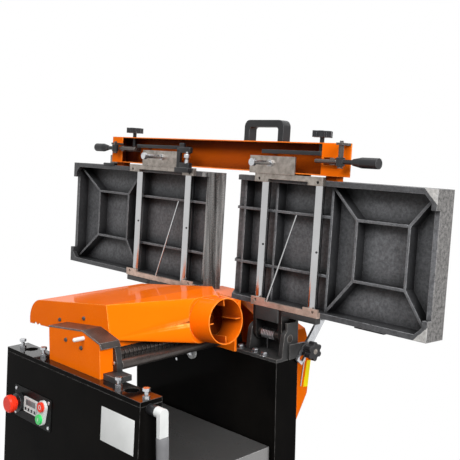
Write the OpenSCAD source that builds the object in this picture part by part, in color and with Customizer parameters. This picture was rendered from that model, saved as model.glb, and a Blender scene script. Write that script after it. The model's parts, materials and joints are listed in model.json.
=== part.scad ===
// Combination planer thicknesser with its planing tables folded up.
// X runs along the tables, Y to the rear, Z up, with the origin on the floor between the columns.

/* [Cabinet] */
// Length of both columns along the tables
col_len = 510; // [480:5:560]
// Thickness of the front column at its top
front_col_t = 53; // [48:1:64]
// Thickness of the rear column
rear_col_t = 71; // [68:1:90]
// Clear width between the columns
throat = 325; // [315:1:345]
// Height of the column tops above the floor
col_h = 750; // [720:5:790]
// How far the foot of the front panel stands out past its top
front_lean = 46; // [20:1:70]
// Sheet thickness of columns and cabinet
sheet = 3; // [2:0.5:5]
// Thickness of the cap on the front column
cap_t = 10; // [8:1:14]
// Thickness of the base plate
base_t = 12; // [8:1:20]
// Reach of the base plate past the columns
base_over = 45; // [35:1:70]
// Diameter of the floor bolt holes
floor_hole_d = 14; // [10:1:18]
// Height of the lower cabinet
cabinet_h = 330; // [300:5:360]

/* [Tables] */
// Width of the planing tables
table_w = 296; // [280:1:304]
// Depth of the table castings
table_d = 60; // [54:1:64]
// Length of the outfeed table, left
outfeed_len = 602; // [560:2:680]
// Length of the infeed table, right
infeed_len = 586; // [520:2:640]
// Thickness of the table plate
plate_t = 14; // [10:1:18]
// Thickness of the rim walls of the castings
rim_t = 12; // [9:1:16]
// Thickness of the ribs
rib_t = 6; // [5:1:12]
// How far the folded tables lean back
table_lean = 3.7; // [2:0.1:6]
// Height of the hinge axis above the column tops
hinge_h = 48; // [46:1:56]
// Distance from the hinge axis to the rear edge of the tables
rear_gap = 64; // [62:1:72]
// How far the underside of the planing tables lies below the hinge axis
under_drop = 12; // [8:1:14]
// Diameter of the ground table shafts
shaft_d = 22; // [18:1:25]
// Depth of the cross bars under the tables
bar_d = 10; // [8:1:14]

/* [Cutter] */
// Cutterblock radius
cutter_r = 36; // [32:1:38]
// Where the cutterblock axis stands along X
cutter_x = -5; // [-14:1:2]
// Half of the gap between the table lips
lip_gap = 26; // [22:1:30]
// Journal radius of the cutterblock
journal_r = 12.5; // [10:0.5:14]
// Radius of the feed rollers
roller_r = 14; // [12:0.5:15]
// Radius of the cross bar in front of the fingers
bar_r = 11; // [8:0.5:11.5]

/* [Hood] */
// Sheet thickness of the dust hood
hood_t = 2.5; // [2:0.1:3.5]
// Outer radius of the dust outlet
outlet_r = 51; // [48:0.5:52]
// Length of the dust outlet
outlet_len = 63; // [56:1:90]
// Upward tilt of the outlet
outlet_tilt = 5.5; // [3:0.1:7]

/* [Thickness table] */
// Top of the thickness table below the column tops
bed_drop = 195; // [185:1:215]
// Length of the thickness table
bed_len = 490; // [440:5:540]
// Plate thickness of the thickness table
bed_t = 34; // [28:1:40]
// Side clearance of the thickness table
bed_gap = 1.5; // [1:0.5:6]
// Radius of the lifting tube
lift_r = 28; // [24:1:32]

/* [Fits] */
// Radial clearance of a shaft that turns or slides in its bore
run_fit = 0.05; // [0.02:0.01:0.09]
// Gap between faces that pass each other
face_gap = 0.5; // [0.3:0.1:1]

/* [Hidden] */
$fn = 48;

black = [0.05, 0.05, 0.055];
iron = [0.2, 0.2, 0.21];
orange = [0.95, 0.4, 0.04];
steel = [0.72, 0.72, 0.74];
bar_grey = [0.5, 0.47, 0.44];
plastic = [0.09, 0.09, 0.1];
pale = [0.82, 0.83, 0.82];

// Places across the machine
y_front = -(front_col_t + throat + rear_col_t) / 2;
y_throat0 = y_front + front_col_t;
y_throat1 = y_throat0 + throat;
y_rear = y_throat1 + rear_col_t;
half_len = col_len / 2;
base_lip = 10;
base_y0 = y_front - front_lean - base_lip;
base_y1 = y_rear + base_lip;
base_x = half_len + base_over;
base_mid_y = (base_y0 + base_y1) / 2;
floor_span_y = 400;
function lean_at(z) = front_lean * (col_h - z) / col_h;
panel_tilt = atan(front_lean / col_h);

// Hinge frame: x along the tables, y into the castings, z along the tables from the hinge axis
hinge_back = 43.5;
hinge_y = y_throat1 + hinge_back;
hinge_z = col_h + hinge_h;
module on_hinge() {
  translate([0, hinge_y, hinge_z]) rotate([-table_lean, 0, 0]) children();
}
module on_table() {
  on_hinge() translate([0, -under_drop, 0]) children();
}
table_u1 = rear_gap + table_w;
outfeed_x1 = cutter_x - lip_gap;
outfeed_x0 = outfeed_x1 - outfeed_len;
infeed_x0 = cutter_x + lip_gap;
infeed_x1 = infeed_x0 + infeed_len;
cutter_z = hinge_z - under_drop + table_d - cutter_r;
lip_r = sqrt(lip_gap * lip_gap + cutter_r * cutter_r) + 1;
shaft_r = shaft_d / 2;
shaft_w = 6;
shaft_x = [-311, -111, 159, 318];
bar_span = [[-343, -80], [135, 336]];
rear_bar_span = [[-336, -63], [146, 345]];
bar_u = rim_t;
front_bar_u = table_u1 - 5;
bar_tab = [42, 7];
bar_tab_t = 4.5;
lock_hole_d = 30;
lock_hole_y = y_front + front_col_t * 0.58;
lock_x = [-199, 187];
lock_u = hinge_y - lock_hole_y;
lock_plate_t = 4;
lock_span = [[-283, -140], [120, 257]];

// Places along the cutter
cover_y0 = y_front + 20.5;
cover_y1 = y_throat0 + 0.5;
cheek_y1 = y_throat0 + 14.5;
rear_face = y_throat1 - 6.5;
cover_t = 2;
strap_t = 3;
cutter_y0 = cheek_y1 + 11;
cutter_y1 = rear_face - 8;
cover_top = [[-103, 74.5], [29.5, 89.3], [92, 73.5]];
roller_off = 52;
roller_z = cutter_z - cutter_r + roller_r - 1;
roller_journal = 7;
finger_x = 71;
finger_z = col_h + 39;
finger_shaft_r = 5;
cross_x = 98;
cross_z = col_h + 24;

// Hood places, heights above the column tops
hood_right_top = [49, 142.6];
hood_right_low = [61, 68.4];
hood_end = [-212, 52];
hood_end_r = 57;
hood_corner = [-190, 49];
seam_x = 126.8;
seam_y = 60;
seam_h = 92;
seam_corner = 30;

// Drive places
belt_y = y_rear + 26;
cutter_pulley_r = 20;
motor_pulley_r = 42;
motor_x = 125;
motor_z = 190;
motor_r = 70;
belt_t = 5;
belt_w = 24;

module along_x(x0, x1) {
  translate([x0, 0, 0]) rotate([90, 0, 90]) linear_extrude(x1 - x0) children();
}
module along_y(y0, y1) {
  translate([0, y1, 0]) rotate([90, 0, 0]) linear_extrude(y1 - y0) children();
}
module rod_x(x0, x1, r) {
  translate([x0, 0, 0]) rotate([0, 90, 0]) cylinder(r = r, h = x1 - x0);
}
module rod_y(y0, y1, r) {
  translate([0, y1, 0]) rotate([90, 0, 0]) cylinder(r = r, h = y1 - y0);
}
module block(x0, x1, y0, y1, z0, z1) {
  translate([x0, y0, z0]) cube([x1 - x0, y1 - y0, z1 - z0]);
}
module rounded(w, h, r) {
  for (x = [r, w - r], y = [r, h - r]) translate([x, y]) circle(r);
  translate([r, 0]) square([w - 2 * r, h]);
  translate([0, r]) square([w, h - 2 * r]);
}
// Front panel frame: x along the panel, y up the panel, z out of it
module on_panel(x, z) {
  translate([x, y_front - lean_at(z), z]) rotate([90 - panel_tilt, 0, 0]) children();
}
module hex_bolt(across, head, shank_r, shank) {
  cylinder(d = across / cos(30), h = head, $fn = 6);
  translate([0, 0, -shank]) cylinder(r = shank_r, h = shank);
}
module star_knob(d, h) {
  cylinder(d = d * 0.74, h = h);
  for (a = [0 : 60 : 300]) rotate(a) translate([d * 0.36, 0, 0]) cylinder(d = d * 0.28, h = h);
}

module base_plate() {
  color(black) difference() {
    block(-base_x, base_x, base_y0, base_y1, 0, base_t);
    for (x = [-1, 1], y = [-1, 1])
      translate([x * (half_len + base_over / 2), base_mid_y + y * floor_span_y / 2, -1])
        cylinder(d = floor_hole_d, h = base_t + 2);
  }
}

module column_profile(in, z0, z1) {
  polygon([
    [y_front - lean_at(z0) + in, z0], [y_throat0 - in, z0],
    [y_throat0 - in, z1], [y_front - lean_at(z1) + in, z1]
  ]);
}
module front_column() {
  top = col_h - cap_t;
  color(black) difference() {
    along_x(-half_len, half_len) column_profile(0, base_t, top);
    along_x(-half_len + sheet, half_len - sheet) column_profile(sheet, base_t - 1, top + 1);
  }
}
screw_x = [-221, -129, 157, 246];
screw_y = y_front + front_col_t * 0.4;
screw_r = 4;
module front_cap() {
  color(black) difference() {
    along_x(-half_len, half_len) column_profile(0, col_h - cap_t, col_h);
    for (x = lock_x) translate([x, lock_hole_y, col_h - cap_t - 1])
      cylinder(d = lock_hole_d, h = cap_t + 2);
    for (x = screw_x) translate([x, screw_y, col_h - cap_t - 1])
      cylinder(r = screw_r + run_fit, h = cap_t + 2);
  }
}
module support_screws() {
  nut = 7;
  head = 6;
  reach = hinge_h - under_drop - bar_d - lock_plate_t;
  color(steel) for (x = screw_x) translate([x, screw_y, col_h]) {
    difference() {
      cylinder(d = 15, h = nut, $fn = 6);
      translate([0, 0, -1]) cylinder(r = screw_r + run_fit, h = nut + 2);
    }
    translate([0, 0, reach - head]) hex_bolt(13, head, screw_r, reach - head + cap_t);
  }
}
module rear_column() {
  hole_r = 20;
  color(black) difference() {
    block(-half_len, half_len, y_throat1, y_rear, base_t, col_h);
    block(-half_len + sheet, half_len - sheet, y_throat1 + sheet, y_rear - sheet, base_t - 1, col_h - sheet);
    translate([motor_x, 0, motor_z]) rod_y(y_throat1 - 1, y_rear + 1, hole_r);
  }
}
module lower_cabinet() {
  w = half_len - 4;
  color(black) difference() {
    block(-w, w, y_throat0, y_throat1, base_t, cabinet_h);
    block(-w + sheet, w - sheet, y_throat0 - 1, y_throat1 + 1, base_t - 1, cabinet_h - sheet);
    cylinder(r = lift_r + 8, h = cabinet_h + 1);
  }
}

plate_z = [col_h - 149, col_h - 77];
plate_x = [-211, -54];
panel_plate_t = 2;
module control_plate() {
  rise = plate_z[1] - plate_z[0];
  color(black) on_panel(plate_x[0], plate_z[0]) linear_extrude(panel_plate_t)
    rounded(plate_x[1] - plate_x[0], rise, 4);
}
module display() {
  color(pale) on_panel(-163.5, col_h - 128) translate([0, 0, panel_plate_t]) linear_extrude(3)
    rounded(56, 34, 2);
}
estop = [-185, col_h - 114];
estop_travel = 5;
collar_h = 10;
estop_stem_r = 8;
module estop_collar() {
  color(plastic) on_panel(estop[0], estop[1]) translate([0, 0, panel_plate_t]) difference() {
    cylinder(d = 42, h = collar_h);
    translate([0, 0, 2]) cylinder(r = estop_stem_r + run_fit, h = collar_h);
  }
}
module estop_button() {
  gap = estop_travel + 1;
  color([0.85, 0.06, 0.03]) on_panel(estop[0], estop[1]) translate([0, 0, panel_plate_t + collar_h]) {
    translate([0, 0, -2]) cylinder(r = estop_stem_r, h = gap + 2);
    translate([0, 0, gap]) cylinder(d = 34, h = 6);
    translate([0, 0, gap + 6]) cylinder(d = 40, h = 8);
    translate([0, 0, gap + 14]) cylinder(d1 = 40, d2 = 34, h = 4);
  }
}
switch_pos = [-84, col_h - 112];
switch_tilt = -12;
switch_pitch = 30;
switch_h = 7;
cap_r = 11;
cap_travel = 3;
module on_switch() {
  on_panel(switch_pos[0], switch_pos[1]) rotate(switch_tilt) translate([0, 0, panel_plate_t]) children();
}
module switch_housing() {
  rim = cap_r + 3;
  color(pale) on_switch() difference() {
    union() {
      for (s = [-1, 1]) translate([0, s * switch_pitch / 2, 0]) cylinder(r = rim, h = switch_h);
      translate([-rim, -switch_pitch / 2, 0]) cube([2 * rim, switch_pitch, switch_h]);
    }
    for (s = [-1, 1]) translate([0, s * switch_pitch / 2, 2]) cylinder(r = cap_r + run_fit, h = switch_h);
  }
}
module switch_cap(side) {
  on_switch() translate([0, side * switch_pitch / 2, 2 + cap_travel]) cylinder(r = cap_r, h = switch_h);
}
module start_button() {
  color([0.05, 0.62, 0.2]) switch_cap(-1);
}
module stop_button() {
  color([0.85, 0.08, 0.05]) switch_cap(1);
}

strap_tail = [cover_top[2][0] + 6, cover_top[2][1] - 10];
module cheek_outline() {
  polygon(concat([[cover_top[0][0], 0]], cover_top, [strap_tail, [103, 48], [106, 30], [106, 0]]));
}
module inner_outline(in, low) {
  polygon([
    [cover_top[0][0] + in, low], [cover_top[0][0] + in, cover_top[0][1] - in],
    [cover_top[1][0], cover_top[1][1] - in], [cover_top[2][0] - in, cover_top[2][1] - in],
    [cover_top[2][0] - in, low]
  ]);
}
bearing_r = 19;
bearing_w = 14;
module front_cheek() {
  in = cover_t + face_gap;
  foot = 138;
  foot_h = 12;
  color(iron) difference() {
    translate([0, 0, col_h]) {
      along_y(cover_y0 + in, cover_y1) inner_outline(in, 0);
      along_y(cover_y1, cheek_y1) cheek_outline();
      block(cover_top[2][0] + face_gap, foot, cover_y0 + 8, cheek_y1, 0, foot_h);
    }
    translate([cutter_x, 0, cutter_z]) {
      rod_y(cover_y0, cover_y0 + in + bearing_w, bearing_r);
      rod_y(cover_y0, cheek_y1 + 1, journal_r + 2);
    }
    for (s = [-1, 1]) translate([cutter_x + s * roller_off, 0, roller_z])
      rod_y(cover_y1, cheek_y1 + 1, roller_journal + run_fit);
  }
}
module front_cover() {
  color(orange) translate([0, 0, col_h]) difference() {
    along_y(cover_y0, cover_y1) polygon(concat([[cover_top[0][0], 0]], cover_top, [[cover_top[2][0], 0]]));
    along_y(cover_y0 + cover_t, cover_y1 + 1) inner_outline(cover_t, -1);
  }
}
module bearing_strap() {
  color(bar_grey) translate([0, 0, col_h]) along_y(cover_y0 - 1, cheek_y1)
    polygon(concat(cover_top, [strap_tail, strap_tail + [strap_t, 1.5]],
      [for (i = [2 : -1 : 0]) cover_top[i] + [i == 2 ? 1.5 : 0, strap_t]]));
}
module cover_pin() {
  color(pale) translate([34, 0, col_h + 76]) {
    rod_y(cover_y0 - 22, cover_y0, 4.5);
    translate([0, cover_y0 - 22, 0]) sphere(r = 4.5);
  }
}
module rear_cheek() {
  top = cutter_z + bearing_r + 6;
  low = roller_z + roller_journal + 8;
  x0 = cutter_x - roller_off - 20;
  x1 = cutter_x + roller_off + 18;
  y0 = rear_face + cover_t + face_gap;
  y1 = y_throat1 + 22;
  color(iron) difference() {
    union() {
      block(x0, x1, y0, y1, col_h, low);
      block(cutter_x - 40, cutter_x + 32, y0, y1, low, top);
    }
    translate([cutter_x, 0, cutter_z]) {
      rod_y(y1 - bearing_w, y1 + 1, bearing_r);
      rod_y(y0 - 1, y1, journal_r + 2);
    }
    for (s = [-1, 1]) translate([cutter_x + s * roller_off, 0, roller_z])
      rod_y(y0 - 1, y1 + 1, roller_journal + run_fit);
  }
}
module rear_cover_outline(in) {
  polygon([
    [30 + in, -1], [30 + in, 126 - in], [140 - in, 123 - in], [140 - in, 86 + in],
    [128 - in, 74], [128 - in, -1]
  ]);
}
module rear_cover() {
  y1 = y_throat1;
  color(orange) difference() {
    translate([0, 0, col_h]) difference() {
      along_y(rear_face, y1) intersection() {
        rear_cover_outline(0);
        translate([-200, 0]) square([400, 200]);
      }
      along_y(rear_face + cover_t, y1 + 1) rear_cover_outline(cover_t);
      block(0, 100, rear_face + cover_t, y1 + 1, -1, roller_z + 20 - col_h);
    }
    translate([cutter_x + roller_off, 0, roller_z]) rod_y(rear_face - 1, y1, roller_journal + 3);
  }
}
knife_slots = 3;
module cutterblock() {
  color(steel) translate([cutter_x, 0, cutter_z]) difference() {
    union() {
      rod_y(cutter_y0, cutter_y1, cutter_r - 1);
      rod_y(cover_y0 + cover_t + 2, cutter_y0, journal_r);
      rod_y(cutter_y1, belt_y + belt_w / 2 + 6, journal_r);
    }
    for (i = [0 : knife_slots - 1]) rotate([0, 30 + i * 360 / knife_slots, 0])
      block(-6, 6, cutter_y0 - 1, cutter_y1 + 1, cutter_r - 16, cutter_r + 1);
  }
}
module cutter_knives() {
  color(steel) translate([cutter_x, 0, cutter_z])
    for (i = [0 : knife_slots - 1]) rotate([0, 30 + i * 360 / knife_slots, 0])
      block(-6, -3, cutter_y0, cutter_y1, cutter_r - 16, cutter_r - 0.6);
}
module cutter_bearings() {
  y1 = y_throat1 + 22;
  color(steel) translate([cutter_x, 0, cutter_z]) for (y = [cover_y0 + cover_t + face_gap, y1 - bearing_w])
    difference() {
      rod_y(y, y + bearing_w, bearing_r - run_fit);
      rod_y(y - 1, y + bearing_w + 1, journal_r + run_fit);
    }
}
module feed_roller(side) {
  color(iron) translate([cutter_x + side * roller_off, 0, roller_z]) {
    rod_y(cutter_y0, cutter_y1, roller_r);
    rod_y(cover_y1 + 1, cutter_y0, roller_journal);
    rod_y(cutter_y1, y_throat1 + 20, roller_journal);
  }
}
module infeed_roller() {
  feed_roller(1);
}
module outfeed_roller() {
  feed_roller(-1);
}
module cross_bar() {
  color(plastic) translate([cross_x, 0, cross_z]) rod_y(cheek_y1, rear_face, bar_r);
}
module finger_shaft() {
  color(steel) translate([finger_x, 0, finger_z]) rod_y(cheek_y1, rear_face, finger_shaft_r);
}
finger_w = 9;
finger_pitch = 11.5;
finger_long = 25;
module kickback_fingers() {
  count = floor((rear_face - cheek_y1 - 8) / finger_pitch);
  start = cheek_y1 + 5;
  color(plastic) translate([finger_x, 0, finger_z]) for (i = [0 : count - 1])
    along_y(start + i * finger_pitch, start + i * finger_pitch + finger_w) difference() {
      union() {
        circle(8);
        polygon([[-6, 0], [6, 0], [5, -finger_long + 6], [-4, -finger_long]]);
      }
      circle(finger_shaft_r + run_fit);
    }
}

// Side outline of the hood; in is the inset of the inner face
module hood_outline(in) {
  r = hood_end_r - in;
  polygon(concat(
    [for (a = [188 : -7 : 90]) hood_end + r * [cos(a), sin(a)]],
    [hood_right_top - [in, in], hood_right_low - [in, 0], hood_corner + [0, in > 0 ? -9 : 0]],
    in > 0 ? [[hood_end[0] - r, hood_end[1] - 20]] : []
  ));
}
module seam_frame() {
  translate([seam_x, seam_y, col_h + seam_h]) rotate([0, 90 - outlet_tilt, 0]) children();
}
module duct_mouth(in, over) {
  along_y(cheek_y1 + in, rear_face - in) translate([0, col_h])
    polygon([hood_right_top - [1 + over, in], hood_right_top - [0, in],
      hood_right_low + [0, in], hood_right_low - [1 + over, -in]]);
}
module hood_duct() {
  hull() {
    duct_mouth(0, 0);
    seam_frame() translate([-outlet_r, -outlet_r, -1]) linear_extrude(1)
      rounded(2 * outlet_r, 2 * outlet_r, seam_corner);
  }
}
module duct_inside() {
  hull() {
    duct_mouth(hood_t, 1);
    seam_frame() cylinder(r = outlet_r - hood_t, h = 1, $fn = 40);
  }
}
module hood_shell() {
  notch = journal_r + 5;
  apron = 19;
  color(orange) difference() {
    union() {
      translate([0, 0, col_h]) along_y(cheek_y1, rear_face) hood_outline(0);
      hood_duct();
      translate([hood_right_low[0] - hood_t, cheek_y1 + hood_t, col_h + hood_right_low[1] - apron])
        cube([hood_t, rear_face - cheek_y1 - 2 * hood_t, apron]);
    }
    translate([0, 0, col_h]) along_y(cheek_y1 + hood_t, rear_face - hood_t) hood_outline(hood_t);
    duct_inside();
    translate([cutter_x, 0, cutter_z]) rod_y(cheek_y1 - 1, rear_face + 1, notch);
    block(cutter_x - notch, cutter_x + notch, cheek_y1 - 1, rear_face + 1, col_h + 30, cutter_z);
    for (x = [-243, -226]) translate([x, 0, col_h + 43]) rod_y(cheek_y1 - 1, rear_face + 1, 7.5);
  }
}
outlet_ribs = 4;
module hood_outlet() {
  color(orange) seam_frame() {
    difference() {
      cylinder(r = outlet_r, h = outlet_len);
      translate([0, 0, -1]) cylinder(r = outlet_r - hood_t, h = outlet_len + 2);
    }
    for (i = [0 : outlet_ribs - 1]) rotate(i * 360 / outlet_ribs)
      translate([outlet_r - hood_t - 15, -1.25, outlet_len - 50]) cube([15.5, 2.5, 46]);
  }
}

bed_z = col_h - bed_drop;
post_top = 380;
module thickness_bed() {
  y0 = cheek_y1 + bed_gap;
  y1 = rear_face - bed_gap;
  plate = 12;
  wall = 10;
  color(steel) difference() {
    block(-bed_len / 2, bed_len / 2, y0, y1, bed_z - bed_t, bed_z);
    difference() {
      block(-bed_len / 2 + wall, bed_len / 2 - wall, y0 + wall, y1 - wall, bed_z - bed_t - 1, bed_z - plate);
      for (x = [-1, 1]) block(x * bed_len / 5 - 4, x * bed_len / 5 + 4, y0, y1, bed_z - bed_t - 1, bed_z);
      block(-bed_len / 2, bed_len / 2, -4, 4, bed_z - bed_t - 1, bed_z);
      translate([0, 0, bed_z - bed_t - 1]) cylinder(r = lift_r + 12, h = bed_t);
    }
  }
}
module lift_tube() {
  color(steel) difference() {
    translate([0, 0, base_t + 78]) cylinder(r = lift_r, h = bed_z - bed_t - base_t - 78);
    translate([0, 0, base_t + 77]) cylinder(r = lift_r - 8, h = bed_z - bed_t - base_t - 90);
  }
}
module lift_post() {
  color(iron) difference() {
    union() {
      translate([0, 0, base_t]) cylinder(r = lift_r + 7, h = post_top - base_t);
      translate([0, 0, base_t]) cylinder(r = lift_r + 24, h = 12);
    }
    translate([0, 0, base_t - 1]) cylinder(r = lift_r + run_fit, h = post_top);
  }
}

motor_y = [-150, y_throat1 - 30];
module motor() {
  foot = 100;
  color(iron) difference() {
    union() {
      translate([motor_x, 0, motor_z]) rod_y(motor_y[0], motor_y[1], motor_r);
      block(motor_x - foot / 2, motor_x + foot / 2, motor_y[0] + 40, motor_y[1] - 40, base_t, motor_z - 20);
      block(motor_x - 30, motor_x + 30, -50, 50, motor_z, motor_z + motor_r + 22);
    }
    translate([motor_x, 0, motor_z]) rod_y(motor_y[1] - 40, motor_y[1] + 1, 14 + run_fit);
  }
}
module pulley(r) {
  rod_y(belt_y - belt_w / 2, belt_y + belt_w / 2, r);
  for (s = [-1, 1]) translate([0, belt_y + s * (belt_w / 2 + 1.5), 0]) rod_y(-1.5, 1.5, r + 4);
}
module motor_pulley() {
  color(iron) translate([motor_x, 0, motor_z]) {
    pulley(motor_pulley_r);
    rod_y(motor_y[1] - 38, belt_y + belt_w / 2 + 6, 14);
  }
}
module cutter_pulley() {
  color(iron) translate([cutter_x, 0, cutter_z]) difference() {
    pulley(cutter_pulley_r);
    rod_y(belt_y - belt_w, belt_y + belt_w, journal_r + run_fit);
  }
}
// Outline of a belt round both pulleys, grown by over
module belt_outline(over) {
  hull() {
    translate([cutter_x, cutter_z]) circle(cutter_pulley_r + over);
    translate([motor_x, motor_z]) circle(motor_pulley_r + over);
  }
}
module drive_belt() {
  color(plastic) along_y(belt_y - belt_w / 2 + 1, belt_y + belt_w / 2 - 1) difference() {
    belt_outline(face_gap + belt_t);
    belt_outline(face_gap);
  }
}
guard_x = [-80, 185];
module guard_outline(in) {
  y = y_rear;
  z = hinge_z + 56;
  polygon([
    [y, 110 + in], [y + 62 - in, 110 + in], [y + 62 - in, 530], [y + 119 - in, col_h - 130],
    [y + 131 - in, col_h - 44], [y + 112 - in, col_h + 22], [y + 76 - in, z - in], [y, z - in]
  ]);
}
// The guard's top falls away to the right; down is how far below it the inner face lies
module guard_slope(down) {
  along_y(y_rear - 5, y_rear + 140)
    polygon([[guard_x[1] - 130, hinge_z + 57 - down], [guard_x[1] + 1, hinge_z - 12 - down],
      [guard_x[1] + 1, hinge_z + 80], [guard_x[1] - 130, hinge_z + 80]]);
}
module belt_guard() {
  color(orange) difference() {
    along_x(guard_x[0], guard_x[1]) guard_outline(0);
    guard_slope(0);
    difference() {
      along_x(guard_x[0] + cover_t, guard_x[1] - cover_t) translate([-1, 0]) guard_outline(cover_t);
      guard_slope(cover_t);
    }
  }
}

lever_y = y_throat0 - 30;
lever_z = col_h - 17;
boss_len = 22;
lever_shaft_r = 7;
module feed_boss() {
  color(plastic) translate([0, lever_y, lever_z]) difference() {
    rod_x(half_len, half_len + boss_len, 10.5);
    rod_x(half_len + 2, half_len + boss_len + 1, lever_shaft_r + run_fit);
  }
}
module feed_lever() {
  x = half_len + boss_len + face_gap;
  arm_w = 21;
  arm_t = 10;
  arm_len = 46;
  grip_len = 95;
  grip_r = 11;
  color(pale) translate([0, lever_y, lever_z]) {
    rod_x(half_len + 3, x, lever_shaft_r);
    rod_x(x, x + 10 + arm_t, arm_w / 2);
    block(x + 10, x + 10 + arm_t, -arm_w / 2, arm_w / 2, -arm_len, 0);
    translate([x + 10 + arm_t / 2, 0, -arm_len - grip_len]) cylinder(r = grip_r, h = grip_len);
  }
}

// Right hinge bracket; the left one is its mirror image
bracket_x = [120, half_len];
bracket_base = 7;
cheek_t = 12;
hinge_r = 9;
module bracket() {
  left = bracket_x[0] + 21;
  y0 = y_throat1 + 4;
  y1 = y_rear;
  module cheek() {
    translate([hinge_y, hinge_z]) circle(20);
    polygon([[y0 + 14, col_h + bracket_base], [y1, col_h + bracket_base], [hinge_y + 20, hinge_z],
      [hinge_y - 20, hinge_z]]);
  }
  difference() {
    union() {
      block(bracket_x[0], bracket_x[1], y_throat1, y_rear, col_h, col_h + bracket_base);
      along_x(left, left + cheek_t) cheek();
      along_x(bracket_x[1] - cheek_t, bracket_x[1]) cheek();
      block(bracket_x[1] - 6, bracket_x[1], hinge_y - 11, y1 - 1, col_h + bracket_base, hinge_z + 36);
      block(left, bracket_x[1], hinge_y + 20, y1 - 1, col_h + bracket_base, hinge_z + 44);
    }
    translate([0, hinge_y, hinge_z]) rod_x(left - 1, bracket_x[1] + 1, hinge_r + run_fit);
  }
  for (p = [[16, 16], [62, 18], [96, 12]])
    translate([bracket_x[0] + p[0] - 6, y_throat1 + p[1] - 4, col_h + bracket_base]) cylinder(d = 14, h = 7, $fn = 6);
}
stay_y = hinge_y + 44;
stay_z = hinge_z - 30;
stud_r = 6;
stay_x = half_len + 6;
stay_t = 6;
stay_pivot = [96, 40];
pivot_r = 5;
lug_x = half_len + 1;
module hinge_brackets() {
  lug_r = 15;
  color(bar_grey) {
    bracket();
    mirror([1, 0, 0]) bracket();
    along_x(half_len, half_len + 5) {
      translate([stay_y, stay_z]) circle(lug_r);
      polygon([[hinge_y - 6, col_h + 1], [stay_y, stay_z - lug_r], [stay_y, stay_z + lug_r],
        [hinge_y - 6, hinge_z - 12]]);
    }
    translate([0, stay_y, stay_z]) rod_x(half_len + 5, stay_x + stay_t + 20, stud_r);
  }
}
module hinge_shafts() {
  left = bracket_x[0] + 21;
  color(steel) for (s = [0, 1]) mirror([s, 0, 0]) translate([0, hinge_y, hinge_z])
    rod_x(left - 3, bracket_x[1], hinge_r);
}
// Coil of round wire along x, with one leg down to the bracket
coil_n = 8;
coil_rings = 8;
wire_r = 1.4;
coil_r = (hinge_r + wire_r + 0.8) / cos(180 / coil_rings);
coil_pitch = 5;
coil_start = bracket_x[0] + 54;
wire_sides = 6;
coil_total = coil_n * coil_rings;
function coil_point(i) =
  let (a = i * 360 / coil_rings, x = coil_start + i * coil_pitch / coil_rings)
  [x, coil_r * cos(a), coil_r * sin(a)];
function coil_dir(i) = let (a = i * 360 / coil_rings) [0, -sin(a), cos(a)];
coil_path = concat(
  [coil_point(0) - (hinge_h - bracket_base) * coil_dir(0)],
  [for (i = [0 : coil_total]) coil_point(i)],
  [coil_point(coil_total) + 2 * wire_r * coil_dir(coil_total)]);
function path_turn(i) = (min(max(i - 1, 0), coil_total)) * 360 / coil_rings;
coil_gap = min([for (i = [0 : len(coil_path) - 1], j = [0 : len(coil_path) - 1])
  if (abs(i - j) > coil_rings / 2) norm(coil_path[i] - coil_path[j])]) - 2 * wire_r;
echo(coil_gap = coil_gap);
module coil() {
  rings = len(coil_path);
  points = [for (i = [0 : rings - 1], k = [0 : wire_sides - 1])
    let (a = path_turn(i), b = k * 360 / wire_sides, out = [0, cos(a), sin(a)])
    coil_path[i] + wire_r * (cos(b) * [1, 0, 0] + sin(b) * out)];
  function at(i, k) = i * wire_sides + k % wire_sides;
  faces = concat(
    [for (i = [0 : rings - 2], k = [0 : wire_sides - 1]) [at(i, k), at(i, k + 1), at(i + 1, k)]],
    [for (i = [0 : rings - 2], k = [0 : wire_sides - 1]) [at(i, k + 1), at(i + 1, k + 1), at(i + 1, k)]],
    [for (k = [1 : wire_sides - 2]) [at(0, 0), at(0, k + 1), at(0, k)]],
    [for (k = [1 : wire_sides - 2]) [at(rings - 1, 0), at(rings - 1, k), at(rings - 1, k + 1)]]);
  polyhedron(points, faces);
}
module hinge_springs() {
  color(steel) for (s = [0, 1]) mirror([s, 0, 0]) translate([0, hinge_y, hinge_z]) coil();
}
module guide_disc() {
  color(pale) translate([-29, 0, col_h - 36]) rod_y(y_throat1 - 4, y_throat1, 17);
}

// Rib between two points of a table, standing on its plate
rib_w = 18;
module rib(a, b) {
  d = b - a;
  translate([a[0], rib_w, a[1]]) rotate([0, -atan2(d[1], d[0]), 0])
    translate([0, 0, -rib_t / 2]) cube([norm(d), table_d - plate_t - rib_w + 1, rib_t]);
}
// Box of ribs with diagonals to the corners of its bay
module cross_ribs(bay, box, box_u) {
  u0 = rear_gap + rim_t;
  u1 = table_u1 - rim_t;
  for (i = [0, 1]) {
    rib([box[i], box_u[0]], [box[i], box_u[1]]);
    rib([box[0], box_u[i]], [box[1], box_u[i]]);
    out = i == 0 ? -2.5 : 2.5;
    rib([box[i], box_u[0]], [bay[i] + out, u0 - 2.5]);
    rib([box[i], box_u[1]], [bay[i] + out, u1 + 2.5]);
  }
}
end_drop = 14;
end_pad = 42;
module casting(x0, x1, end_x) {
  translate([x0, table_d - plate_t, rear_gap]) cube([x1 - x0, plate_t, table_w]);
  for (u = [rear_gap, table_u1 - rim_t]) translate([x0, 0, u]) cube([x1 - x0, table_d, rim_t]);
  translate([end_x, end_drop, rear_gap]) cube([rim_t, table_d - end_drop, table_w]);
  for (u = [rear_gap, table_u1 - end_pad]) translate([end_x, 0, u]) cube([rim_t, table_d, end_pad]);
}
module corner_pads(x, side) {
  pad = end_pad - 2;
  for (t = [0, 1]) translate([x, 0, t == 0 ? rear_gap : table_u1]) rotate([-90, 0, 0])
    linear_extrude(12) polygon([[0, 0], [side * pad, 0], [0, t == 0 ? -pad : pad]]);
}
box_u = [rear_gap + 90, rear_gap + 218];
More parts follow.
